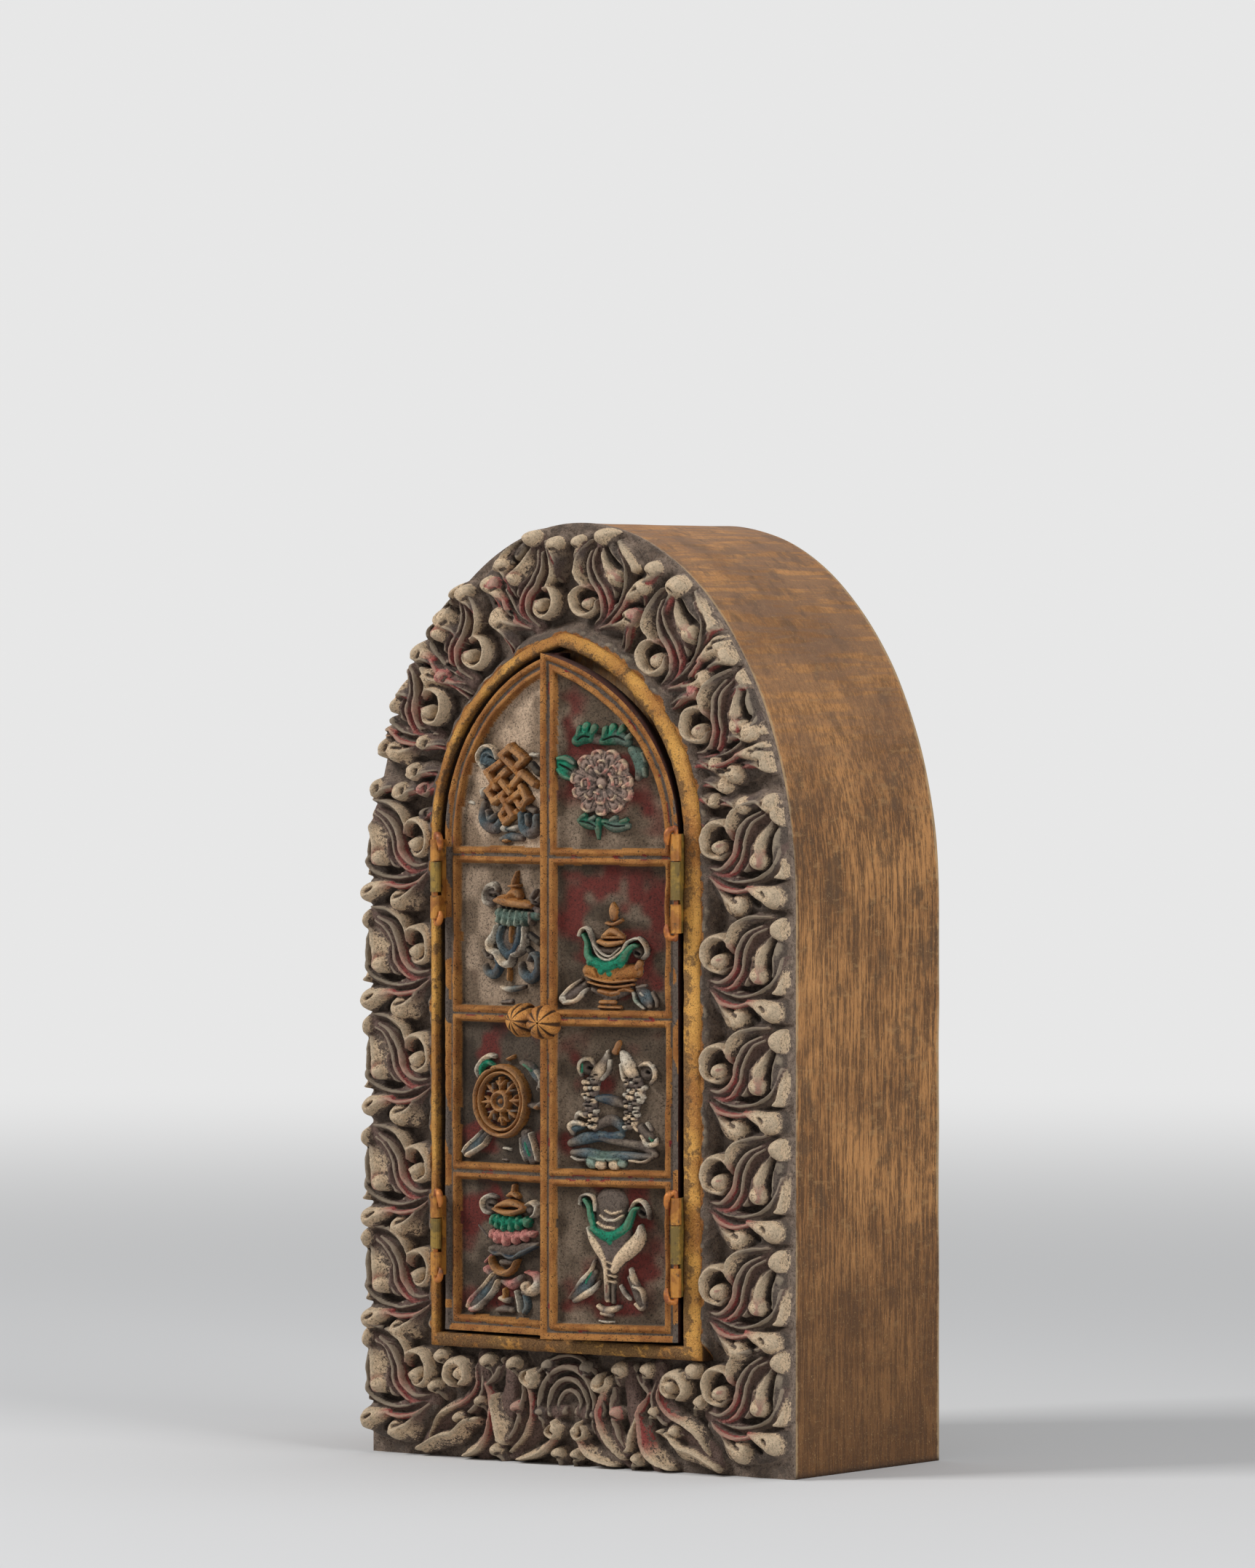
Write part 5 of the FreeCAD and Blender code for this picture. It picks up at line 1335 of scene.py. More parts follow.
# Symbols. Each stroke: (distance from the hinge axis, height) points, widths, heights over the
# panel, tones. Gold is the tone o.
SYMBOLS = {
    "knot": (
        (((21, 285.2), (21.4, 285)), 9.6, 2.4, "b"),
        (((26.6, 284.8), (24.7, 288.6), (20.5, 290), (17, 287.6), (16.5, 284), (19.6, 280.8)),
         (1.3, 1.7, 1.7, 1.9, 1.6, 1.2), 3.8, "wcwcw"),
        (((25, 284.6), (22.5, 287), (19.4, 286.4), (18.6, 283.6), (21, 282.4)), (2, 2.2, 2.2, 2, 1.6), 3.2,
         "b"),
        (((19.4, 266.4), (18.4, 261), (20.4, 257.7), (25, 256.7), (28.2, 259.8)), (3.4, 4.6, 4.8, 4.6, 3),
         3.3, "gbsb"),
        (((26.4, 262.8), (22.9, 260.4), (21.6, 263.6)), (2, 2.8, 1.8), 3.9, "sbs"),
        (((29.9, 256.7), (30.2, 256.7)), 3.2, 3.6, "w"),
        (((31.6, 256.6), (35, 256.9), (38.6, 257.6)), (2, 2.6, 2), 2.8, "bws"),
        (((39.2, 262.4), (39.8, 257.6), (43, 254.9), (46.4, 256.6), (46.8, 261.4)),
         (3.4, 4.8, 4.8, 4.6, 3), 3.7, "bbsb"),
        (((42.6, 262.2), (43.4, 258.6)), (2.2, 2.8), (4.2, 4), "bs"),
        (((41, 266), (45.8, 263.8)), 3, 3, "g"),
        (((28.4, 252.3), (33, 253.3), (39, 252.9)), (2.6, 3.6, 2.8), 2.8, "gbs"),
        (((30.2, 251.6), (32.4, 251.8)), (1.4, 1.2), 3.4, "o"),
        (((18.5, 271.6), (19.1, 269.6)), (3, 2.8), (3.2, 3), "ws"),
        (((11, 267), (13, 266.6)), (1.6, 1.4), (1.4, 1.2), "w"),
        (((43.8, 286.6), (47.2, 286.4)), (1.6, 1.8), 2.6, "w"),
        (((44.4, 282.4), (47.4, 279.4)), (3, 3.4), 3, "d"),
    ),
    "banner": (
        (((36.6, 239.2), (36, 236), (35.4, 233.2)), (0.9, 2.1, 3), (2.6, 3.8, 4), "o"),
        (((33.8, 233.4), (37.8, 233.6)), 1.3, 4.4, "o"),
        (((33, 229.8), (36.4, 231), (38.8, 229.2)), (2.4, 4.2, 2.4), (4.2, 4.8, 4.2), "o"),
        (((26.2, 227.5), (30, 227.7), (36, 226.8), (44.8, 225.6)), (2.4, 4.8, 4.8, 2.6),
         (4.2, 5.5, 5.6, 4.6), "o"),
        (((22.8, 229.4), (23.4, 229.4)), 7.4, 2.4, "g"),
        (((26.8, 231.4), (25, 233.6), (21.8, 233), (19.8, 229.6), (20.2, 226.6), (23.4, 225.8)),
         (1.4, 2.4, 2.8, 2.6, 2.4, 2), 3.6, "gwgws"),
        (((46.4, 231.6), (44.6, 228.8), (46.2, 226.8), (48.4, 228.6)), (2, 2.4, 2.4, 2), 3.2, "sgs"),
        (((45.2, 225), (48, 223.2)), (2.6, 3), 3, "s"),
        (((27, 222.4), (33, 221), (40, 221.2), (47.6, 221.8)), (4.2, 5.4, 5.6, 4), 3.4, "t"),
        (((28.2, 224), (27.6, 219.4)), (2.6, 2.8), (3.6, 4.4), "tl"),
        (((31.2, 223.8), (30.4, 218.6)), (2.8, 3), (3.6, 4.5), "tl"),
        (((34.4, 223.6), (33.7, 218.2)), (2.8, 3), (3.6, 4.5), "tl"),
        (((37.6, 223.4), (37.2, 218.2)), (2.8, 3), (3.6, 4.5), "tl"),
        (((40.8, 223.2), (40.8, 218.4)), (2.8, 3), (3.6, 4.4), "tt"),
        (((44.2, 222.8), (44.6, 219)), (2.8, 3), (3.6, 4.2), "gg"),
        (((33.2, 212), (33.6, 212)), 10.4, 2, "g"),
        (((28.8, 216.6), (27.6, 212), (29.4, 207.6), (33, 205.4), (36.4, 208.6), (37.9, 213.4),
          (38.4, 216.8)), (2.4, 3.4, 3.8, 4.2, 3.8, 3.2, 2.2), 3.5, "bbnb"),
        (((26.8, 217.2), (25.2, 213.6), (22.6, 210.4), (23.2, 207.5), (26.4, 206.2)),
         (1.6, 3.2, 3.9, 3.3, 2.6), 4.6, "wwcw"),
        (((26.4, 206.2), (28.2, 203.8), (30.6, 201.8), (33.6, 202.4), (35.2, 205.2)),
         (2.6, 3, 3.4, 3.2, 2.2), 4.7, "wcws"),
        (((35.2, 205.4), (38.4, 206.8), (41, 210.4), (41, 216.6)), (2, 2.6, 3, 2), 4.4, "wsww"),
        (((38.4, 207.4), (39.8, 209.4)), 1, 4.9, "k"),
        (((34.3, 216.6), (33.9, 211.4)), (1.9, 2.4), 3.5, "o"),
        (((32.6, 200), (32.4, 195.6)), 1.7, 3, "o"),
        (((19.4, 207.4), (21.6, 204.6), (24.2, 205.2), (24.6, 207.2)), (1.4, 2.2, 2.2, 1.6), 3.2, "gsg"),
        (((19.8, 200.8), (21.4, 197.9), (25, 197.9), (27.4, 201.2), (26.2, 203.8)), (2, 3.4, 4, 3.6, 2),
         3.4, "gbnb"),
        (((39, 201.8), (39.8, 198.4), (43.6, 196.2), (47.4, 198.8), (47.8, 203.6), (45.4, 206.2),
          (43.6, 203.6)), (2.4, 3.8, 4.4, 4.2, 3.2, 2.4, 1.8), 3.7, "gbnbs"),
        (((28.6, 192.6), (31.4, 191.6), (35.4, 192), (40.4, 192.9)), (1.4, 2.2, 2.4, 1.4), 3, "cwbg"),
        (((28, 186.3), (33.4, 186.7)), (1.6, 2), 1.8, "s"),
        (((43.2, 213.6), (47.6, 211)), 3, 2.8, "d"),
        (((42.4, 208), (46, 204.6)), (2.6, 3), 2.8, "d"),
    ),
    "wheel": (
        (((24.6, 164.2), (21.8, 164.4), (18.2, 162.2), (15.7, 158.6), (16.7, 155.4)),
         (1.8, 2.4, 2.4, 2.2, 1.8), 3.4, "wcws"),
        (((24, 160.6), (21, 161.8), (18, 159.8), (17.8, 157)), (2.2, 3, 3, 2), 2.9, "e"),
        (((39.6, 162.2), (43.6, 160.4), (46.6, 157.4), (49.2, 154.6), (48.4, 151.8)),
         (2.4, 4, 4.4, 3.6, 2.4), 3.5, "ggbgs"),
        (((41.4, 161.6), (45.4, 159.2)), (1.6, 2), 4, "e"),
        (((46.8, 159.2), (49.7, 156), (50, 152.6)), (1, 1.2, 1.1), 4.1, "w"),
        (((43.6, 145.2), (46.6, 144.6), (49.4, 146)), (2.4, 2.8, 2.4), 3, "sgs"),
        (((46.8, 144.2), (48, 144.6)), (1.8, 1.6), 3.6, "o"),
        (((21, 133.2), (15.6, 128.8), (9.4, 124.6)), (3, 4.8, 3.6), 2.8, "gbg"),
        (((19.4, 134.4), (15.4, 131), (11.6, 128.4), (8.8, 125.2)), (1.2, 1.8, 1.8, 1.6), 3.8, "swcw"),
        (((22.4, 132), (19.6, 128.6), (15.6, 126.4), (10.4, 123.8)), (1, 1.6, 1.8, 2.2), 3.8, "scwc"),
        (((41, 133.6), (42.4, 128), (45, 123)), (5, 6.4, 5), 3, "gbg"),
        (((39.2, 131.6), (39.8, 126.4), (42, 122.4)), (1.2, 1.6, 1.3), 3.6, "sws"),
        (((44, 133.6), (46, 128.6), (47.6, 123.2)), (1.4, 1.8, 1.5), 3.7, "wcw"),
        (((41.8, 129.8), (44.2, 125)), (1.6, 2), 3.6, "e"),
        (((28.8, 127.2), (32.6, 126.9)), (1.1, 1.2), 1.5, "w"),
        (((28.4, 122.6), (31, 122.4)), 1, 1.4, "s"),
        (((31.8, 163.4), (34.6, 164.5)), (1.3, 1.5), 3, "o"),
    ),
    "parasol": (
        (((35.2, 112.2), (35, 110.2)), (2, 2.6), 3.2, "o"),
        (((32.6, 108.2), (35, 109.1), (37.4, 107.8)), (1.8, 2.8, 1.8), 3.8, "o"),
        (((26.6, 103.6), (30, 104.7), (34.6, 105.2), (41, 103.6)), (2, 3.2, 3.4, 2), (4, 4.6, 4.8, 4),
         "o"),
        (((26.2, 102.7), (30.6, 101.4), (36, 101.5), (41.4, 103)), (1.6, 2.6, 2.6, 1.6), 5.5, "o"),
        (((22.2, 104), (22.6, 104)), 6.4, 2.3, "g"),
        (((26.2, 107), (22.6, 107.9), (19.4, 106.3), (18.7, 103.4), (20.6, 100.9), (23.6, 100.7)),
         (1.1, 1.8, 2, 1.8, 1.5, 1.1), 3.9, "swcws"),
        (((43.4, 103), (43.8, 103)), 4.4, 2.6, "g"),
        (((42.2, 104.8), (45, 105.8), (47.5, 104), (46.8, 101.2), (45, 100)), (1.5, 2.2, 2.3, 2, 1.3), 3.9,
         "scwws"),
        (((23.6, 98.4), (33, 97.6), (43.4, 98.4)), (2.4, 4.4, 2.6), 3.6, "e"),
        (((24.6, 99), (24.2, 97)), 3, (4, 4.4), "e"),
        (((27.6, 99.2), (27.2, 96)), (3.2, 3.5), (4, 4.7), "e"),
        (((30.8, 99), (30.6, 95)), (3.4, 3.7), (4, 4.8), "e"),
        (((34.4, 99), (34.6, 95)), (3.4, 3.7), (4, 4.8), "e"),
        (((38, 99), (38.2, 95.8)), (3.2, 3.5), (4, 4.7), "e"),
        (((41.8, 98.8), (42.4, 97)), (3, 3.2), (4, 4.3), "e"),
        (((23, 92.4), (32, 92), (45.8, 93.2)), (2, 4, 2.4), 3.4, "f"),
        (((23.8, 93), (23.8, 91.6)), 3, (3.6, 4.2), "f"),
        (((27, 92.8), (26.8, 90.4)), (4, 4.2), (3.6, 4.4), "f"),
        (((31.4, 92.4), (31.2, 89.6)), (4.4, 4.6), (3.6, 4.5), "f"),
        (((36, 92.4), (36.2, 90.4)), 4.2, (3.6, 4.4), "f"),
        (((40.4, 93), (41, 91.6)), 4, (3.6, 4.2), "f"),
        (((44.2, 93.4), (44.8, 92.8)), 2.8, (3.6, 4), "f"),
        (((22.8, 86.6), (28, 86.4), (34, 86), (42, 87.8), (47.8, 89)), (2, 4.6, 4.8, 3.8, 1.8), 3.2, "g"),
        (((22.8, 85.6), (26, 84.4), (29.2, 84.7), (32, 83.5), (35.4, 83.2), (38.4, 84.9), (42.4, 86.6),
          (47.6, 88.6)), (1.2, 2, 1.8, 2.2, 2, 1.8, 1.8, 1.2), 3.9, "gngnnbnn"),
        (((24.3, 83.2), (24.8, 80), (27.6, 77.3), (31.4, 76.8), (35.2, 78.8), (37.8, 82.4)),
         (0.8, 2.2, 3, 2.9, 2.3, 0.8), 5, "o"),
        (((28.6, 81), (34, 81.2)), (3, 2.6), 2.6, "g"),
        (((19, 80.6), (22, 83.4)), 1, 1.6, "f"),
        (((15.4, 95.4), (20.2, 91)), (0.9, 1), 1, "s"),
        (((20.4, 77.8), (23.2, 76.2)), (3.4, 3), 3.3, "fs"),
        (((26, 75), (20, 69), (13.8, 63.2)), (2.6, 5.4, 4.6), 3, "gbg"),
        (((24.6, 76.2), (21.4, 72.8), (17.6, 69.2), (13, 65.4), (11.4, 62.4)), (1.4, 2.2, 2.6, 2.4, 2),
         4.1, "ccsfc"),
        (((27.2, 73.6), (24.6, 69.4), (20.6, 65.6), (16.4, 62.4), (12.8, 61.2)), (1.2, 2, 2, 2.4, 2.6),
         4.1, "cwswf"),
        (((29.4, 73.4), (33.6, 72.4), (38.6, 74.8)), (2, 4.4, 3.8), 3.4, "sfs"),
        (((40.8, 71.6), (41.2, 71.6)), 4.4, 3.9, "c"),
        (((40.4, 69.4), (44.6, 70.2), (47.8, 73.4), (46.4, 76.4), (42, 77.6)), (2.6, 4.6, 4.6, 3, 1.4),
         3.6, "scwfp"),
        (((36.6, 69.6), (38, 65), (38.6, 61.6)), (1.2, 1.9, 1.4), 3.6, "w"),
        (((40.8, 68), (41.8, 64), (40.4, 61.2)), (3, 3.2, 2), 2.8, "b"),
        (((30.2, 70), (30.4, 67)), (1.7, 1.9), 3.2, "o"),
        (((28, 66.4), (30.4, 65.8), (32.6, 65.8)), (2.2, 2.8, 2.2), 3.2, "cs"),
        (((26.4, 61.6), (30, 62.2), (34, 61.8)), (2.4, 3.2, 2.6), 2.6, "gsg"),
    ),
    "lotus": (
        (((42.6, 294), (34, 293), (28, 293.4)), (3.6, 4.6, 3.6), 2.2, "g"),
        (((44.8, 292.4), (41.6, 294.4), (38.6, 293.6)), (4.6, 6.6, 4.4), (3, 3.5, 3), "vvv"),
        (((43.8, 294.4), (43.2, 297.4)), (2.8, 3), (3.6, 4), "v"),
        (((41.2, 295.2), (40.6, 298.4)), (3, 3.2), (3.8, 4.2), "e"),
        (((38.6, 294.8), (37.2, 297.8)), (2.8, 3), (3.6, 4), "v"),
        (((33.6, 292.4), (30.6, 293.6), (27.2, 294.2), (23.4, 292.2)), (3.6, 6, 6.6, 4.4),
         (3, 3.5, 3.5, 3), "vvtt"),
        (((32.8, 294), (32.2, 297)), (2.8, 3.2), (3.6, 4.1), "v"),
        (((29.8, 295.2), (29.2, 298)), (2.8, 3.2), (3.8, 4.2), "e"),
        (((26.6, 295.2), (25.2, 297.6)), 3, (3.7, 4), "v"),
        (((23.8, 293), (22, 294.6)), (3, 2.4), (3.4, 3.6), "t"),
        (((52.2, 283.4), (48.8, 281.6), (46, 279.8)), (5, 7.2, 5), (3, 3.5, 3), "eevg"),
        (((52.4, 285.4), (48.8, 285.2), (45.6, 283.4)), (2, 2.8, 1.6), 3.9, "evt"),
        (((52.2, 280.8), (50, 278.6), (46.6, 277.2)), (2.4, 3, 2), 3.8, "ev"),
        (((21.4, 289), (18.6, 286), (17.4, 281.4), (18.8, 277.8)), (3.8, 6.2, 5.6, 3),
         (2.8, 3.3, 3.2, 2.8), "tttg"),
        (((16.6, 287.2), (15.6, 284.8)), (2.4, 2.6), (3.7, 3.6), "t"),
        (((16, 281.4), (15.8, 279)), 2.4, 3.5, "t"),
        (((43.4, 260.6), (40.2, 259.8), (36.4, 258.4)), (2.6, 5.2, 3.4), (3.2, 3.7, 3.3), "vvt"),
        (((42.4, 261.8), (41, 262.6)), (2.2, 2.4), 3.8, "v"),
        (((38.6, 261), (36.8, 262)), 2.4, 3.8, "t"),
        (((35.2, 260.8), (35.6, 257), (35.4, 253.4)), (2.8, 2.6, 1.2), (3.8, 3.6, 3), "vvv"),
        (((33.2, 260), (28.6, 258.4), (23, 258.4)), (3, 5.2, 2.6), (3.3, 3.7, 3.1), "vtt"),
        (((29.8, 260.6), (28.4, 261.6)), 2.4, 3.8, "t"),
        (((25.6, 260), (23.8, 260.8)), (2.4, 2.2), 3.6, "v"),
    ),
    "vase": (
        (((29.3, 227.6), (29, 224.6), (28.8, 221.8)), (0.8, 3.8, 3.2), (3.4, 4.8, 4), "o"),
        (((31.8, 219.6), (29, 219.2), (25.6, 220.8)), 1.4, 4.2, "oso"),
        (((32.8, 214.6), (29.4, 216.4), (25.4, 214.6)), (1.8, 3.4, 1.8), 4.6, "o"),
        (((33.4, 214), (24.6, 214)), 1.5, 4.2, "o"),
        (((34.8, 212.2), (31, 211.3), (24.8, 212.2)), (2.2, 2.8, 2), 4.9, "o"),
        (((36.4, 209.4), (30, 208.4), (24, 210)), (2.4, 3, 2.4), 3, "g"),
        (((39.6, 200.6), (30, 199), (19.6, 200.6)), (5.4, 8.6, 6), 3.9, "o"),
        (((17.8, 203.8), (19, 201.6)), (3, 3.4), 4.2, "o"),
        (((40.4, 198.6), (35, 196.8), (29, 196.1), (20, 197)), (1.1, 1.3, 1.3, 1.1), 4.8, "o"),
        (((39.2, 196), (33.6, 194.6), (27, 194.2), (20.4, 195.2)), (1.1, 1.3, 1.3, 1.1), 4.7, "o"),
        (((34.6, 192.6), (30, 191.6), (26.6, 192)), (2.2, 3, 2.2), 4, "o"),
        (((26.4, 192.8), (23.6, 193.4), (21, 192.6)), (1.4, 2, 1.4), 4, "o"),
        (((37.6, 193), (30, 190.6), (22, 193)), (2.6, 4, 2.6), 2.8, "g"),
        (((31.4, 190.4), (31.2, 186.6)), 5, 2.4, "g"),
        (((34.4, 188), (28.4, 188)), 1.8, 3.7, "o"),
        (((35, 186.1), (26, 185.9)), 1.3, 3.6, "oo"),
        (((18.2, 208), (18.6, 208)), 5, 3, "g"),
        (((41.2, 214.8), (39.8, 212), (39.6, 207), (37.4, 204.4), (35, 203.4)), (2, 2.6, 3.4, 4.4, 5), 5,
         "e"),
        (((35.6, 203.6), (32.4, 202), (29.4, 203), (26, 204.6), (23.6, 208), (20.4, 210.6), (18.4, 210.8)),
         (4.6, 6.2, 6, 5, 3.6, 2.4, 1.2), 5.2, "e"),
        (((38.6, 204.2), (38.8, 204)), 3.4, 4.8, "e"),
        (((33.6, 200.6), (33.4, 200.4)), 4.8, 5, "e"),
        (((30.2, 199.6), (30, 199.4)), 4, 4.9, "e"),
        (((25.8, 203), (25.6, 202.8)), 3.6, 4.8, "e"),
        (((39, 217), (36.6, 211.4), (33, 207.2), (29.6, 206.5), (25.6, 209.8)), (0.8, 0.9, 1, 1, 0.8), 5.2,
         "ww"),
        (((43.1, 214.6), (41.9, 217.2), (39.7, 217.4), (37.7, 213.6), (35, 207.2), (30.6, 205),
          (25, 208.4), (22.5, 212.2), (18.1, 213.6), (15.3, 211.1), (14.5, 208), (16.2, 205.7)), 1.3, 5.5,
         "wcwswwcwwcws"),
        (((50, 189.4), (45.6, 191.6), (41, 195)), (3, 4.6, 3), 3, "gsg"),
        (((50.6, 190.4), (47, 194), (42.4, 197)), (1.6, 1.6, 1.2), 3.8, "wcs"),
        (((49.8, 187.6), (45, 188.6), (41.4, 192.2), (39.2, 193.6)), (2.2, 2, 1.6, 1), 3.8, "wcws"),
        (((50.2, 189.4), (50.4, 189.2)), 4, 3.8, "w"),
        (((18.4, 193), (15.4, 190), (13.8, 187)), (3, 6, 3.4), 3, "gbg"),
        (((20.4, 192), (19.6, 188.6), (16.4, 185.8)), (1.1, 1.4, 1.2), 3.8, "wlw"),
        (((19, 194.2), (15.6, 194.8)), (1.6, 1.4), 3.2, "s"),
        (((12.6, 192), (10.8, 188.8), (10.8, 186.6)), (1.4, 1.8, 1.4), 3, "g"),
        (((17.4, 192), (16.2, 190.8)), 1, 3.7, "w"),
    ),
    "fishes": (
        (((26.8, 171.6), (28.2, 168.2)), (2.2, 2.8), 4.2, "o"),
        (((40, 161.6), (40.4, 161.6)), 6, 2.4, "g"),
        (((36.6, 162.6), (39.2, 165.1), (42.6, 164.5), (43.6, 161.6), (42.4, 158.4)),
         (1.1, 1.6, 1.6, 1.5, 1.2), 3.8, "scwcs"),
        (((42, 163), (42.3, 159.8)), 1, 3.2, "e"),
        (((36.4, 149.6), (32, 149.2), (27, 148), (24, 146.8)), (2, 4.2, 4.2, 2.4), 3.6, "bngg"),
        (((36.4, 138.6), (30, 140.8), (25, 138)), (4, 4.6, 4), 3, "ggb"),
        (((35, 135), (30, 134.2), (26, 135)), (3.4, 3.8, 3.4), 3.4, "bnb"),
        (((37.4, 157), (38.6, 152), (38.4, 146), (37.6, 140), (36.8, 137.6)), (5.6, 6.4, 5, 4, 3), 3.6,
         "s"),
        (((31.4, 168.4), (32.4, 165), (35, 160.6), (37, 156.8)), (1.2, 3.4, 5.6, 5), (3.2, 4.2, 4.8, 4.6),
         "wscs"),
        (((30.5, 164.6), (31, 160.6), (33.8, 157.2)), (1.4, 1.8, 1.4), 3.9, "wsw"),
        (((20.6, 156), (19.8, 152), (21, 147), (21, 142), (22, 138.6)), (7.6, 8, 6, 5, 3.4), 3.7, "s"),
        (((25.4, 168), (23.7, 165), (21.6, 160.4), (19.8, 157.4)), (2, 4.8, 5.2, 4.2),
         (3.6, 4.8, 5.2, 4.8), "wwcs"),
        (((25.6, 163), (24.4, 158), (22.8, 155.8)), (1.8, 2.6, 2.4), 4.4, "wc"),
        (((15.6, 154.2), (17.8, 152.6), (16.4, 150)), (1.8, 2.6, 1.8), 4.4, "wcw"),
        (((14.4, 160), (14.8, 160)), 6.4, 2.5, "g"),
        (((18, 162.6), (15.4, 163.7), (12.4, 162.2), (11.5, 158.8), (13.2, 155.8)),
         (1.3, 1.8, 1.6, 1.6, 1.3), 3.6, "scwcs"),
        (((42.4, 138.4), (46, 137)), (3.2, 3), 2.9, "b"),
        (((40.6, 142), (43.8, 143.3), (45, 141)), (1.5, 2.1, 1.5), 3.7, "cws"),
        (((41.4, 138.8), (45, 139.7), (47.6, 138.2), (46, 135.2)), (1.8, 2.4, 2.4, 1.8), 3.9, "cwcs"),
        (((17.6, 138), (13.8, 134.2)), 4, 3, "g"),
        (((20.4, 139), (18.8, 137)), (1.8, 1.6), 3.6, "c"),
        (((14.8, 139.8), (12.9, 137.2)), (1.4, 1.6), 3.4, "ws"),
        (((17, 134.8), (14.6, 131.4), (11.6, 131.6), (10.6, 133.4)), (1.5, 2.2, 2.4, 1.5), 3.9, "cwcw"),
        (((13.4, 134.2), (12.4, 132.8)), 1, 4.1, "e"),
        (((47, 131.4), (41, 133.4), (35, 134), (29, 132.6), (22, 131.4), (16, 130.4), (11.4, 127.4)),
         (3.4, 5, 4, 3.4, 3.6, 4, 3), 3.6, "gbngggg"),
        (((46, 127.6), (40, 127.4), (33, 126.2), (24, 126.6), (12.6, 126.6)), (3, 4.4, 4.4, 4, 2.4), 3.8,
         "gbtbg"),
        (((38.2, 124), (38, 123.8)), 5.6, 4.2, "l"),
        (((34.4, 123.2), (34.2, 123)), 5, 4.3, "c"),
        (((28.8, 123.2), (28.6, 123)), 5, 4.3, "c"),
        (((25.6, 123.8), (25.2, 123.6)), 4, 4.2, "l"),
        (((46.4, 126), (44, 124.8), (40.6, 124.8)), (1.2, 1.5, 1.4), 4, "ws"),
        (((22, 124.8), (16, 124.5), (11.6, 127)), (1.2, 1.3, 1.1), 4, "cs"),
        (((39, 126), (33, 125), (26, 125.4)), (1.4, 1.8, 1.4), 4.6, "tlt"),
    ),
    "conch": (
        (((30, 107.4), (30, 98)), 14, (3.8, 4), "g"),
        (((41, 107.2), (41.2, 107.2)), 3.4, 2.4, "d"),
        (((16.6, 104.2), (16.8, 104.2)), 5, 2.8, "g"),
        (((31.8, 104.8), (29, 103.6), (25.4, 104.4)), (1.2, 1.5, 1.2), 5.3, "c"),
        (((33.8, 102.8), (31.4, 101.2), (28, 100.9), (24.6, 102.8)), (1.3, 1.7, 1.6, 1.3), 5.3, "cwc"),
        (((35, 99.8), (32, 98.2), (28, 97.8)), (1.4, 1.9, 1.5), 5.4, "c"),
        (((30, 95), (30.4, 88), (30.8, 80)), (18, 12, 5), (4.1, 3.8, 3.4), "s"),
        (((29.6, 89), (30, 86)), (2.4, 2.8), 4, "g"),
        (((39.4, 97.6), (37.4, 93), (34.6, 88.6), (32.4, 84.4), (31.6, 78), (31.4, 70), (31, 68.4)),
         (1.4, 3.8, 4.4, 3, 2.2, 2, 1.2), 4.9, "wccccsc"),
        (((17.4, 98.6), (18.4, 93.4), (22.4, 89), (26.6, 85), (28.6, 80.6)), (1.8, 6, 6.6, 5, 2.6), 4.9,
         "wcccc"),
        (((31.2, 84.4), (28.6, 83.2)), 1, 4.9, "c"),
        (((31, 81.6), (28.4, 81)), 1, 4.8, "c"),
        (((30.8, 79), (28.2, 78.2)), 1, 4.6, "c"),
        (((30.6, 76.6), (28.4, 76)), 1, 4.4, "c"),
        (((29.4, 76), (29.2, 68)), (2.2, 1.8), 3, "g"),
        (((31.2, 75), (31.2, 72)), 0.8, 5.1, "r"),
        (((40.8, 109), (39, 106), (38.2, 101.6), (36.6, 97.8)), (1.8, 2.6, 2.8, 3.4), 5, "e"),
        (((37, 97.4), (33.6, 95.4), (30.2, 94.4), (26.6, 95.8), (23.4, 98.4), (21.6, 102), (20, 105.2),
          (18, 106)), (3.2, 5, 6.2, 5, 4, 2.8, 2.2, 1.2), 5.4, "e"),
        (((30, 92.6), (29.8, 92)), (3.4, 3), 5.1, "e"),
        (((42.8, 107), (42.3, 110.2), (39.4, 110.9), (37, 109.3), (36.4, 104.6)), (1, 1.2, 1.2, 1.2, 1), 5,
         "wswcw"),
        (((21.8, 104.8), (19.4, 108.5), (16.6, 108.4), (14.3, 105.4), (13.5, 101.8)),
         (1.2, 1.7, 1.7, 1.5, 1.1), 4.7, "scws"),
        (((35.4, 66.2), (32.6, 64.6), (29, 65.2), (26.2, 66.2)), (2, 3, 2.8, 1.8), 3.5, "cscs"),
        (((34, 63.4), (30, 62.8)), (1.8, 2), 3.2, "cs"),
        (((35.4, 60.3), (32, 59.8), (29, 60.2)), (0.8, 1, 0.8), 1.4, "w"),
        (((36.6, 80), (41, 74.4), (46, 70)), (2.6, 5.2, 4), 3, "gbg"),
        (((36.8, 84.4), (38.6, 80.4), (42, 77), (44.6, 73.6)), (1.2, 2, 1.9, 1.4), 3.9, "scws"),
        (((34.6, 76.2), (37.4, 73.2), (41, 70.8), (45.4, 68.2)), (1.2, 2.3, 2.9, 2), 3.9, "swcs"),
        (((38, 79.6), (40.2, 75.6)), (1.4, 1.6), 3.5, "e"),
        (((45, 73), (47.4, 69.4)), (1.6, 1.8), 3.4, "k"),
        (((26, 74.6), (24, 71.4), (22, 69.4)), (1.1, 1.9, 1.4), 3.5, "wsw"),
        (((22.4, 78), (18.8, 71), (17, 67.4)), (2, 4, 4), 2.8, "g"),
        (((21.6, 81.4), (20.6, 77.6), (18.6, 75)), (1.4, 2.5, 1.6), 3.7, "wcs"),
        (((20.4, 74.6), (17, 72.8), (15.7, 68)), (1.4, 2, 1.8), 3.7, "wcs"),
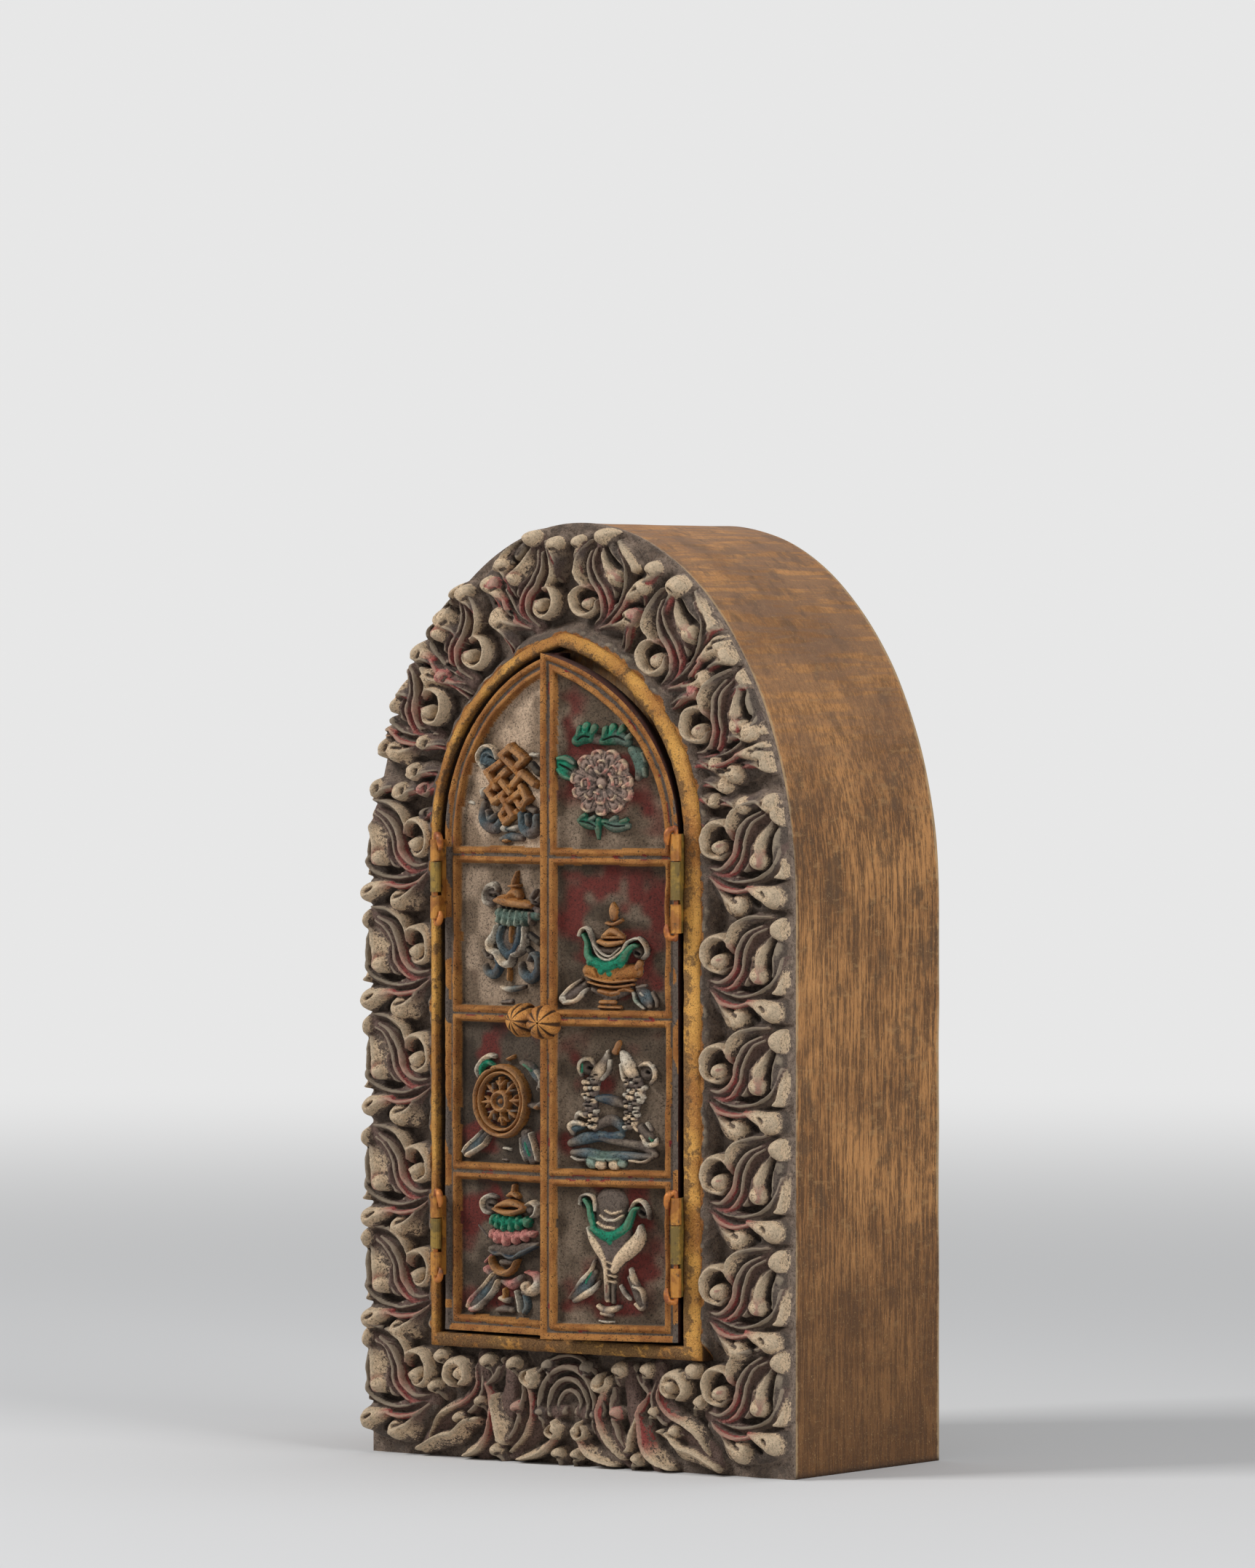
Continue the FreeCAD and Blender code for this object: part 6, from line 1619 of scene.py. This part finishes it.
        (((19.6, 67.4), (17.4, 65.6), (15.6, 66.6)), (1.6, 2, 1.6), 3.4, "cs"),
    ),
}
# Bands of the endless knot: two ends and their heights.
KNOT_BANDS = (
    ((37.8, 279.2), (30, 286.3), 3.6, 4.8), ((30, 286.3), (34.4, 289.4), 4.8, 4.9),
    ((34.4, 289.4), (41.6, 284.9), 4.9, 4.6), ((41.6, 284.9), (38, 281.8), 4.6, 4),
    ((28.2, 283.4), (22.2, 279.5), 3.2, 4.6), ((22.2, 279.5), (26.6, 273.4), 4.6, 4.4),
    ((26.2, 275.6), (32.2, 279.9), 3.6, 4.6), ((24.2, 273.4), (22.6, 271.6), 4.2, 4.4),
    ((22.6, 271.6), (25.7, 267.6), 4.4, 4.6), ((25.7, 267.6), (31.2, 271), 4.6, 4.4),
    ((30.4, 275.4), (34.4, 271.3), 4.9, 4.7), ((34.6, 273.8), (40.6, 278.9), 3.8, 4.8),
    ((40.6, 278.9), (46.4, 274.8), 4.8, 4.2), ((32.8, 267.4), (39.4, 271.4), 4.2, 4.6),
    ((39.8, 273.4), (43.2, 268.8), 4.2, 4.5), ((43.2, 268.8), (40.2, 265.4), 4.5, 4.6),
    ((40.2, 265.4), (37.4, 268), 4.6, 3.6), ((31, 268.4), (35.6, 262.2), 4.9, 4.8),
    ((32, 265.6), (29.4, 262.2), 3.8, 4.2), ((29.4, 262.2), (31.4, 259.4), 4.2, 4.4),
    ((31.4, 259.4), (37, 263.2), 4.4, 3.6),
)
KNOT_BAND_WIDTH = 3.0
# Hollows cut into the symbols: path, widths, depth.
SYMBOL_GOUGES = {
    "knot": (
        (((21.6, 285.5), (23.6, 285.2), (25.6, 284)), (0.8, 1.6, 1), 3),
        (((24.4, 264.4), (27.2, 262.2)), 2.6, 3.4),
    ),
    "banner": (
        (((22.4, 229.5), (25.4, 228.9)), (1.6, 2), 3.4),
        (((46.6, 227.2), (47.4, 227)), 1.2, 3),
        (((28.6, 228.9), (35, 228.5), (41.4, 227.2)), (0.7, 0.9, 0.7), 1.8),
        (((27, 224.9), (36, 224.3), (46, 223.5)), (1, 1.2, 1), 3),
        (((22, 205), (23, 205)), 1, 2.4),
    ),
    "wheel": (
        (((21.8, 159.6), (24, 159.6)), (1.8, 2.2), 3),
    ),
    "parasol": (
        (((22, 104), (24, 103.6)), (1.6, 2), 2),
        (((28.6, 103.3), (33, 102.8), (38.6, 103.2)), (0.8, 1.1, 0.8), 1.8),
    ),
    "lotus": (
        (((44, 292.8), (41.6, 294.2), (39, 294)), (0.8, 1.2, 0.8), 1.4),
        (((33, 292.8), (28, 294.2), (24, 292.8)), (0.8, 1.2, 0.8), 1.4),
        (((51.6, 283), (48.6, 281.6), (46.4, 280.2)), (0.8, 1.4, 0.8), 1.6),
        (((43, 260.4), (39, 259.6), (36, 258)), (0.7, 1, 0.7), 1.2),
        (((32.6, 259.6), (28, 258.4), (24, 258.6)), (0.7, 1, 0.7), 1.2),
    ),
    "vase": (
        (((39.6, 197.3), (34, 195.7), (28, 195.15), (20.4, 196.1)), (0.8, 0.9, 0.9, 0.8), 2.2),
        (((33.8, 213.1), (29, 212.8), (25, 213.2)), (0.7, 0.8, 0.7), 1.8),
        (((19.6, 208.2), (18, 207.4)), (2, 1.6), 2.4),
        (((36, 201), (35, 198.4)), 1.4, 1.4),
    ),
    "fishes": (
        (((39.4, 161.7), (38.2, 161.5)), (1.8, 1.4), 2.6),
        (((14.6, 160.4), (13.8, 160)), (2, 1.6), 2.6),
        (((38.4, 130.2), (32, 130.7), (24, 129)), (1.6, 1.8, 1.4), 3.4),
        (((31.6, 124.8), (31.6, 122.4)), (0.9, 1.2), 2),
    ),
    "conch": (
        (((17.4, 104.6), (16, 103.6)), 2, 2.8),
    ),
}
# Door and panel of each symbol, and the rail below each panel, from the lowest one up.
SYMBOL_PANELS = {
    "knot": ("left", 3), "banner": ("left", 2), "wheel": ("left", 1), "parasol": ("left", 0),
    "lotus": ("right", 3), "vase": ("right", 2), "fishes": ("right", 1), "conch": ("right", 0),
}
PANEL_RAILS = (53.4,) + RAIL_HEIGHTS
PANEL_REACH = 57.0
SYMBOL_PROUD = 5.6

FLOWER = np.array((33.6, 275.8))
# Rings of petals: count, distance out, radius, height, rim width, turn of the first one.
FLOWER_RINGS = ((11, 8.6, 4.4, 3.9, 1.5, 0.3), (8, 5.2, 3.5, 4.6, 1.3, 0.0))
# Curled tips over the petals: path, width, tones.
FLOWER_TIPS = (
    (((39.2, 277.4), (38.6, 275.4), (38.9, 273.4)), 1.3, "fpf"),
    (((30.2, 279.2), (28.9, 277.2), (28.6, 275)), 1.7, "fcf"),
    (((35.4, 280.4), (33.6, 279.2), (31.2, 280.8)), 1.3, "csf"),
    (((36.4, 272.0), (34.6, 271.2)), 1.2, "cf"),
    (((24.2, 274.2), (22, 275.4)), 1.8, "cf"),
    (((26, 279.4), (24.4, 283)), 1.4, "cf"),
)

HUB = np.array((29.1, 146.3))
# Rings of the wheel: radius, width, height, stretch upwards, points.
WHEEL_RINGS = ((13.1, 2.3, 5.0, 1.06, 30), (11.0, 1.5, 4.4, 1.06, 30))
HUB_RING = 3.6
SPOKES = 8

# Flank of each fish: path and widths.
FISH_FLANKS = (
    (((37.4, 157.5), (38.6, 152), (38.4, 146), (37.6, 140.5), (36.8, 137.8)), (5.0, 6.0, 4.8, 3.8, 2.8)),
    (((20.6, 157), (19.8, 152), (21, 147), (21, 142), (22, 138.8)), (6.4, 7.4, 5.8, 5, 3.4)),
)


def from_flower(out, turn):
    """Place at a distance and turn from the flower's middle; it is a little taller than wide."""
    return FLOWER[0] + out * math.cos(turn), FLOWER[1] + 1.04 * out * math.sin(turn)


def carve_petal(field, random, turn, reach, radius, height, tip):
    """One lobed petal with a pale ragged rim."""
    turn = turn + random.uniform(-0.08, 0.08)
    out = reach * random.uniform(0.94, 1.05)
    x, z = from_flower(out, turn)
    field.ball(x, z, radius, height * random.uniform(0.94, 1.06), "q")
    lean = [turn + lobe * 0.8 * radius / reach for lobe in (-0.5, -0.28, 0.0, 0.28, 0.5)]
    far = [out + radius * share for share in (0.45, 0.8, 0.86, 0.8, 0.45)]
    rim = [from_flower(distance, angle) for distance, angle in zip(far, lean)]
    tones = ("fcf", "cfc", "scf", "fcs")[int(random.integers(4))]
    field.stroke(rim, [0.8, tip, tip * 0.9, tip, 0.8], height + 0.35, "round", tones)
    for lobe in (-0.2, 0.2):
        way = np.array([math.cos(turn + lobe), math.sin(turn + lobe)])
        cut = [FLOWER + way * (out - 0.4 * radius), FLOWER + way * (out + 0.7 * radius)]
        field.gouge(cut, [0.6, 0.8], 0.9, 1, "s")
    inner = out - radius * 0.7
    foot = (FLOWER[0] + inner * math.cos(turn), FLOWER[1] + inner * math.sin(turn))
    field.gouge([foot, (x, z)], [1.6, 2.4], 1.3, 1, "s")


def carve_flower(field):
    """Lotus with two rings of lobed petals."""
    random = np.random.default_rng(FLOWER_SEED)
    for count, reach, radius, height, tip, start in FLOWER_RINGS:
        for index in range(count):
            turn = 2 * math.pi * (index + start) / count
            carve_petal(field, random, turn, reach, radius, height, tip)
    field.ball(*FLOWER, 2.6, 4.8, "q")
    for path, width, tones in FLOWER_TIPS:
        field.stroke(path, width, 5.2, "round", tones)
    field.ball(33.8, 274.4, 1.2, 5.4, "c")


def carve_spoke(field, turn, index):
    """One pointed spoke with a small crossbar; every other bar is bare."""
    out = np.array([math.cos(turn), math.sin(turn)])
    along = np.array([-out[1], out[0]])
    spoke = [HUB + out * 4.4, HUB + out * 6.4, HUB + out * 9.6]
    field.stroke(spoke, [1.0, 2.2, 1.0], 3.7, "round", "o", 1, 1.0)
    bar = [HUB + out * 8.2 - along * 2.2, HUB + out * 6.2, HUB + out * 8.2 + along * 2.2]
    field.stroke(bar, [0.8, 1.6, 0.8], 3.3, "round", "os"[index % 2], 1, 1.0 - index % 2)


def carve_wheel(field):
    """Double rim, hub ring and eight pointed spokes."""
    for radius, width, height, stretch, count in WHEEL_RINGS:
        turns = np.linspace(0, 2 * math.pi, count)
        ring = [HUB + radius * np.array((math.cos(turn), stretch * math.sin(turn))) for turn in turns]
        field.stroke(ring, width, height, "round", "o", 1, 1.0)
    field.ball(*HUB, 4.2, 3.0, "g")
    for index in range(SPOKES):
        carve_spoke(field, 2 * math.pi * index / SPOKES + 0.06, index)
    turns = np.linspace(0, 2 * math.pi, 30)[::2]
    turns = np.append(turns, turns[:1])
    ring = [HUB + HUB_RING * np.array((math.cos(turn), math.sin(turn))) for turn in turns]
    field.stroke(ring, 2.3, 4.9, "round", "o", 1, 1.0)
    field.ball(*HUB, 1.4, 4.4, "o", 1.0)


def carve_scales(field):
    """Rows of small scales down both fishes."""
    random = np.random.default_rng(SCALE_SEED)
    for path, widths in FISH_FLANKS:
        line = spline([(x, z, width) for (x, z), width in zip(path, widths)], 12)
        for row, (x, z, width) in enumerate(line):
            count = 3 if width > 4.4 else 2
            for place in range(count):
                off = ((place + 0.5 + 0.5 * (row % 2)) / count - 0.5) * width + random.uniform(-0.5, 0.5)
                low = z + random.uniform(-0.7, 0.7)
                size = random.uniform(1.0, 1.6)
                height = 4.6 + random.uniform(-0.3, 0.3)
                field.ball(x + off, low, size, height, "cwcs"[int(random.integers(4))])
                top = low + size * 0.8
                field.gouge([(x + off - 0.6, top), (x + off + 0.6, top)], 0.9, 1.5, 1, "d")


def make_symbol(name):
    """Painted relief of one symbol on its panel."""
    door, level = SYMBOL_PANELS[name]
    foot = PANEL_RAILS[level] + RAIL / 2
    side = SIDES[door]
    spacing = grid_spacing("symbol")
    left = AXIS_REACH - DOOR_HALF + STILE + 0.3
    across = np.arange(left, AXIS_REACH - MEETING_EDGE - STILE - 0.2, spacing)
    up = np.arange(foot + 0.3, foot + PANEL_REACH, spacing)
    x, z = np.meshgrid(across, up)
    field = Field(x, z, "d", 0.0)
    for path, widths, heights, tones in SYMBOLS[name]:
        field.stroke(path, widths, heights, "round", tones, 1, float(tones[0] == "o"))
    if name == "knot":
        for start, end, low, high in KNOT_BANDS:
            field.bar(start, end, KNOT_BAND_WIDTH, (low, high), "o", 1.0)
    if name == "lotus":
        carve_flower(field)
    if name == "wheel":
        carve_wheel(field)
    if name == "fishes":
        carve_scales(field)
    for path, widths, depth in SYMBOL_GOUGES[name]:
        field.gouge(path, widths, depth, 1, "d")
    carved = field.height > 0.15
    seed = SYMBOL_SEED + len(name)
    rough = field.noise(2.4, seed) * 0.22 + field.noise(0.9, seed + 1) * 0.12
    field.height = field.height + rough * carved
    proud = np.clip(field.height, 0, SYMBOL_PROUD)
    points = np.stack([AXIS_REACH - field.x, PANEL_FLOOR + 0.3 - proud, field.z], -1)
    piece = cut_piece("carved_" + name, swung(points, side), attributes(field, spacing), carved,
                      door + "_door", symbol_paint, side > 0)
    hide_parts(name)


# Nails in the hinges

# Hook at either end: distance from the axis, height from the hinge's end, and 1 where its bend varies.
NAIL_HEAD = ((3.3, -4.8, 1), (3.5, -2.6, 1), (2.9, 0.9, 0), (1.2, 1.8, 0), (0.0, 0.4, 0))
NAIL_TAIL = ((0.0, -0.4, 0), (1.0, -1.8, 0), (2.8, -1.4, 0), (3.6, 1.2, 1), (3.5, 3.4, 1))
NAIL_RADII = (0.6, 1.25, 1.4, 1.3, 1.0, 1.0, 1.0, 1.2, 1.3, 1.2, 0.6)
NAIL_SIDES = 14


def tube(name, path, radii, body, material):
    """Round bar along a smooth path."""
    line = spline([(*point, radius) for point, radius in zip(path, radii)], 10 * len(path))
    turns = np.linspace(0, 2 * math.pi, NAIL_SIDES, endpoint=False)
    rows = []
    for index, row in enumerate(line):
        way = line[min(index + 1, len(line) - 1), :3] - line[max(index - 1, 0), :3]
        way = way / np.linalg.norm(way)
        side = np.cross(way, (0.0, 1.0, 0.0))
        side = side / np.linalg.norm(side)
        other = np.cross(side, way)
        rows.append(row[:3] + row[3] * (np.cos(turns)[:, None] * side + np.sin(turns)[:, None] * other))
    return loops_piece(name, rows, lambda points: {}, body, material, (True, True))


def make_nail(door, level):
    """Bent nail that pins one hinge; both ends hook over towards the door."""
    side = SIDES[door]
    middle = HINGE_MIDDLES[level]
    half = HINGE_LENGTHS[door] / 2
    random = np.random.default_rng(NAIL_SEED + len(door) * 3 + len(level))
    top, bottom = random.uniform(-0.6, 0.6, 2)
    path = [(out, middle + half + up + top * bent) for out, up, bent in NAIL_HEAD]
    path.append((0.0, middle))
    path += [(out, middle - half + up + bottom * bent) for out, up, bent in NAIL_TAIL]
    points = []
    for out, z in path:
        y = AXIS_Y - (1.2 if out > 2 else 0.0)
        points.append(swung(np.array([AXIS_REACH - out, y, z]), side))
    piece = tube("nail_" + door + "_" + level, points, NAIL_RADII, door + "_door", rust)
    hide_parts(door + "_" + level + "_pin")


make_border()
make_frame()
make_casing()
for door in ("right", "left"):
    make_door(door)
    make_knob(door)
    for level in ("lower", "upper"):
        make_nail(door, level)
for symbol in SYMBOLS:
    make_symbol(symbol)

for node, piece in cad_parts.items():
    for slot in piece.material_slots:
        slot.material = frame_brass if "frame_leaf" in node else door_brass


# Stage and light

BACKDROP = (0.80, 0.80, 0.80, 1.0)
FLOOR_COLOUR = (0.62, 0.62, 0.62, 1.0)
FLOOR_RADIUS = 30.0
FLOOR_SIDES = 64
FLOOR_FADE = (0.5, 3.0)
SKY_COLOUR = (0.95, 0.97, 1.0, 1.0)
SKY_STRENGTH = 0.38
# Soft square lamps: name, place, size, power.
LAMPS = (
    ("key_lamp", (-1.1, -1.5, 1.7), 0.7, 38),
    ("side_lamp", (2.2, -0.5, 1.2), 1.0, 25),
    ("top_lamp", (0.2, 0.5, 2.0), 1.0, 5),
)
LAMP_TARGET = (0, 0, 0.19)
CAMERA_PLACE = (2.0562, -2.8211, 0.3288)
CAMERA_TARGET = (-0.01436, 0.0001, 0.27399)
CAMERA_LENS = 196.57
CAMERA_SENSOR = 36.0


def seen_directly(tree):
    """Share of the backdrop's own colour: for camera rays and mirror reflections."""
    path = tree.nodes.new("ShaderNodeLightPath")
    seen = tree.nodes.new("ShaderNodeMath")
    seen.operation = "MAXIMUM"
    tree.links.new(path.outputs["Is Camera Ray"], seen.inputs[0])
    tree.links.new(path.outputs["Is Glossy Ray"], seen.inputs[1])
    return seen.outputs[0]


def floor_material():
    """Matt floor colour that turns into the backdrop's own far from the object."""
    material = bpy.data.materials.new("floor")
    material.use_nodes = True
    tree = material.node_tree
    tree.nodes.clear()
    output = tree.nodes.new("ShaderNodeOutputMaterial")
    diffuse = tree.nodes.new("ShaderNodeBsdfDiffuse")
    diffuse.inputs["Color"].default_value = FLOOR_COLOUR
    glow = tree.nodes.new("ShaderNodeEmission")
    glow.inputs["Color"].default_value = BACKDROP
    place = tree.nodes.new("ShaderNodeTexCoord")
    length = tree.nodes.new("ShaderNodeVectorMath")
    length.operation = "LENGTH"
    tree.links.new(place.outputs["Object"], length.inputs[0])
    fade = tree.nodes.new("ShaderNodeMapRange")
    fade.interpolation_type = "SMOOTHSTEP"
    fade.inputs["From Min"].default_value = FLOOR_FADE[0]
    fade.inputs["From Max"].default_value = FLOOR_FADE[1]
    tree.links.new(length.outputs["Value"], fade.inputs["Value"])
    only = tree.nodes.new("ShaderNodeMath")
    only.operation = "MULTIPLY"
    tree.links.new(fade.outputs["Result"], only.inputs[0])
    tree.links.new(seen_directly(tree), only.inputs[1])
    mix = tree.nodes.new("ShaderNodeMixShader")
    tree.links.new(only.outputs[0], mix.inputs[0])
    tree.links.new(diffuse.outputs[0], mix.inputs[1])
    tree.links.new(glow.outputs[0], mix.inputs[2])
    tree.links.new(mix.outputs[0], output.inputs["Surface"])
    return material


def make_floor():
    """Pale round floor."""
    mesh = bpy.data.meshes.new("floor")
    turns = [2 * math.pi * step / FLOOR_SIDES for step in range(FLOOR_SIDES)]
    rim = [(FLOOR_RADIUS * math.cos(turn), FLOOR_RADIUS * math.sin(turn), 0.0) for turn in turns]
    mesh.from_pydata(rim, [], [list(range(FLOOR_SIDES))])
    floor = bpy.data.objects.new("floor", mesh)
    bpy.context.scene.collection.objects.link(floor)
    mesh.materials.append(floor_material())


def make_world():
    """Even grey light all round, with the backdrop's colour behind the object."""
    world = bpy.data.worlds.new("studio")
    bpy.context.scene.world = world
    world.use_nodes = True
    tree = world.node_tree
    light = tree.nodes["Background"]
    light.inputs["Color"].default_value = SKY_COLOUR
    light.inputs["Strength"].default_value = SKY_STRENGTH
    backdrop = tree.nodes.new("ShaderNodeBackground")
    backdrop.inputs["Color"].default_value = BACKDROP
    mix = tree.nodes.new("ShaderNodeMixShader")
    tree.links.new(seen_directly(tree), mix.inputs[0])
    tree.links.new(light.outputs[0], mix.inputs[1])
    tree.links.new(backdrop.outputs[0], mix.inputs[2])
    tree.links.new(mix.outputs[0], tree.nodes["World Output"].inputs["Surface"])


def aimed(thing, place, target):
    """Put a lamp or camera at a place, looking at a target."""
    thing.location = place
    way = Vector(target) - Vector(place)
    thing.rotation_euler = way.to_track_quat("-Z", "Y").to_euler()


def add_lamp(name, place, size, power):
    """Soft square lamp aimed at the cabinet."""
    lamp = bpy.data.lights.new(name, "AREA")
    lamp.size = size
    lamp.energy = power
    piece = bpy.data.objects.new(name, lamp)
    bpy.context.scene.collection.objects.link(piece)
    aimed(piece, place, LAMP_TARGET)


def make_camera():
    """Camera at the photograph's viewing angle."""
    data = bpy.data.cameras.new("camera")
    data.lens = CAMERA_LENS
    data.sensor_width = CAMERA_SENSOR
    camera = bpy.data.objects.new("camera", data)
    bpy.context.scene.collection.objects.link(camera)
    aimed(camera, CAMERA_PLACE, CAMERA_TARGET)
    bpy.context.scene.camera = camera


make_floor()
make_world()
for lamp in LAMPS:
    add_lamp(*lamp)
make_camera()
bpy.context.scene.view_settings.view_transform = "Standard"
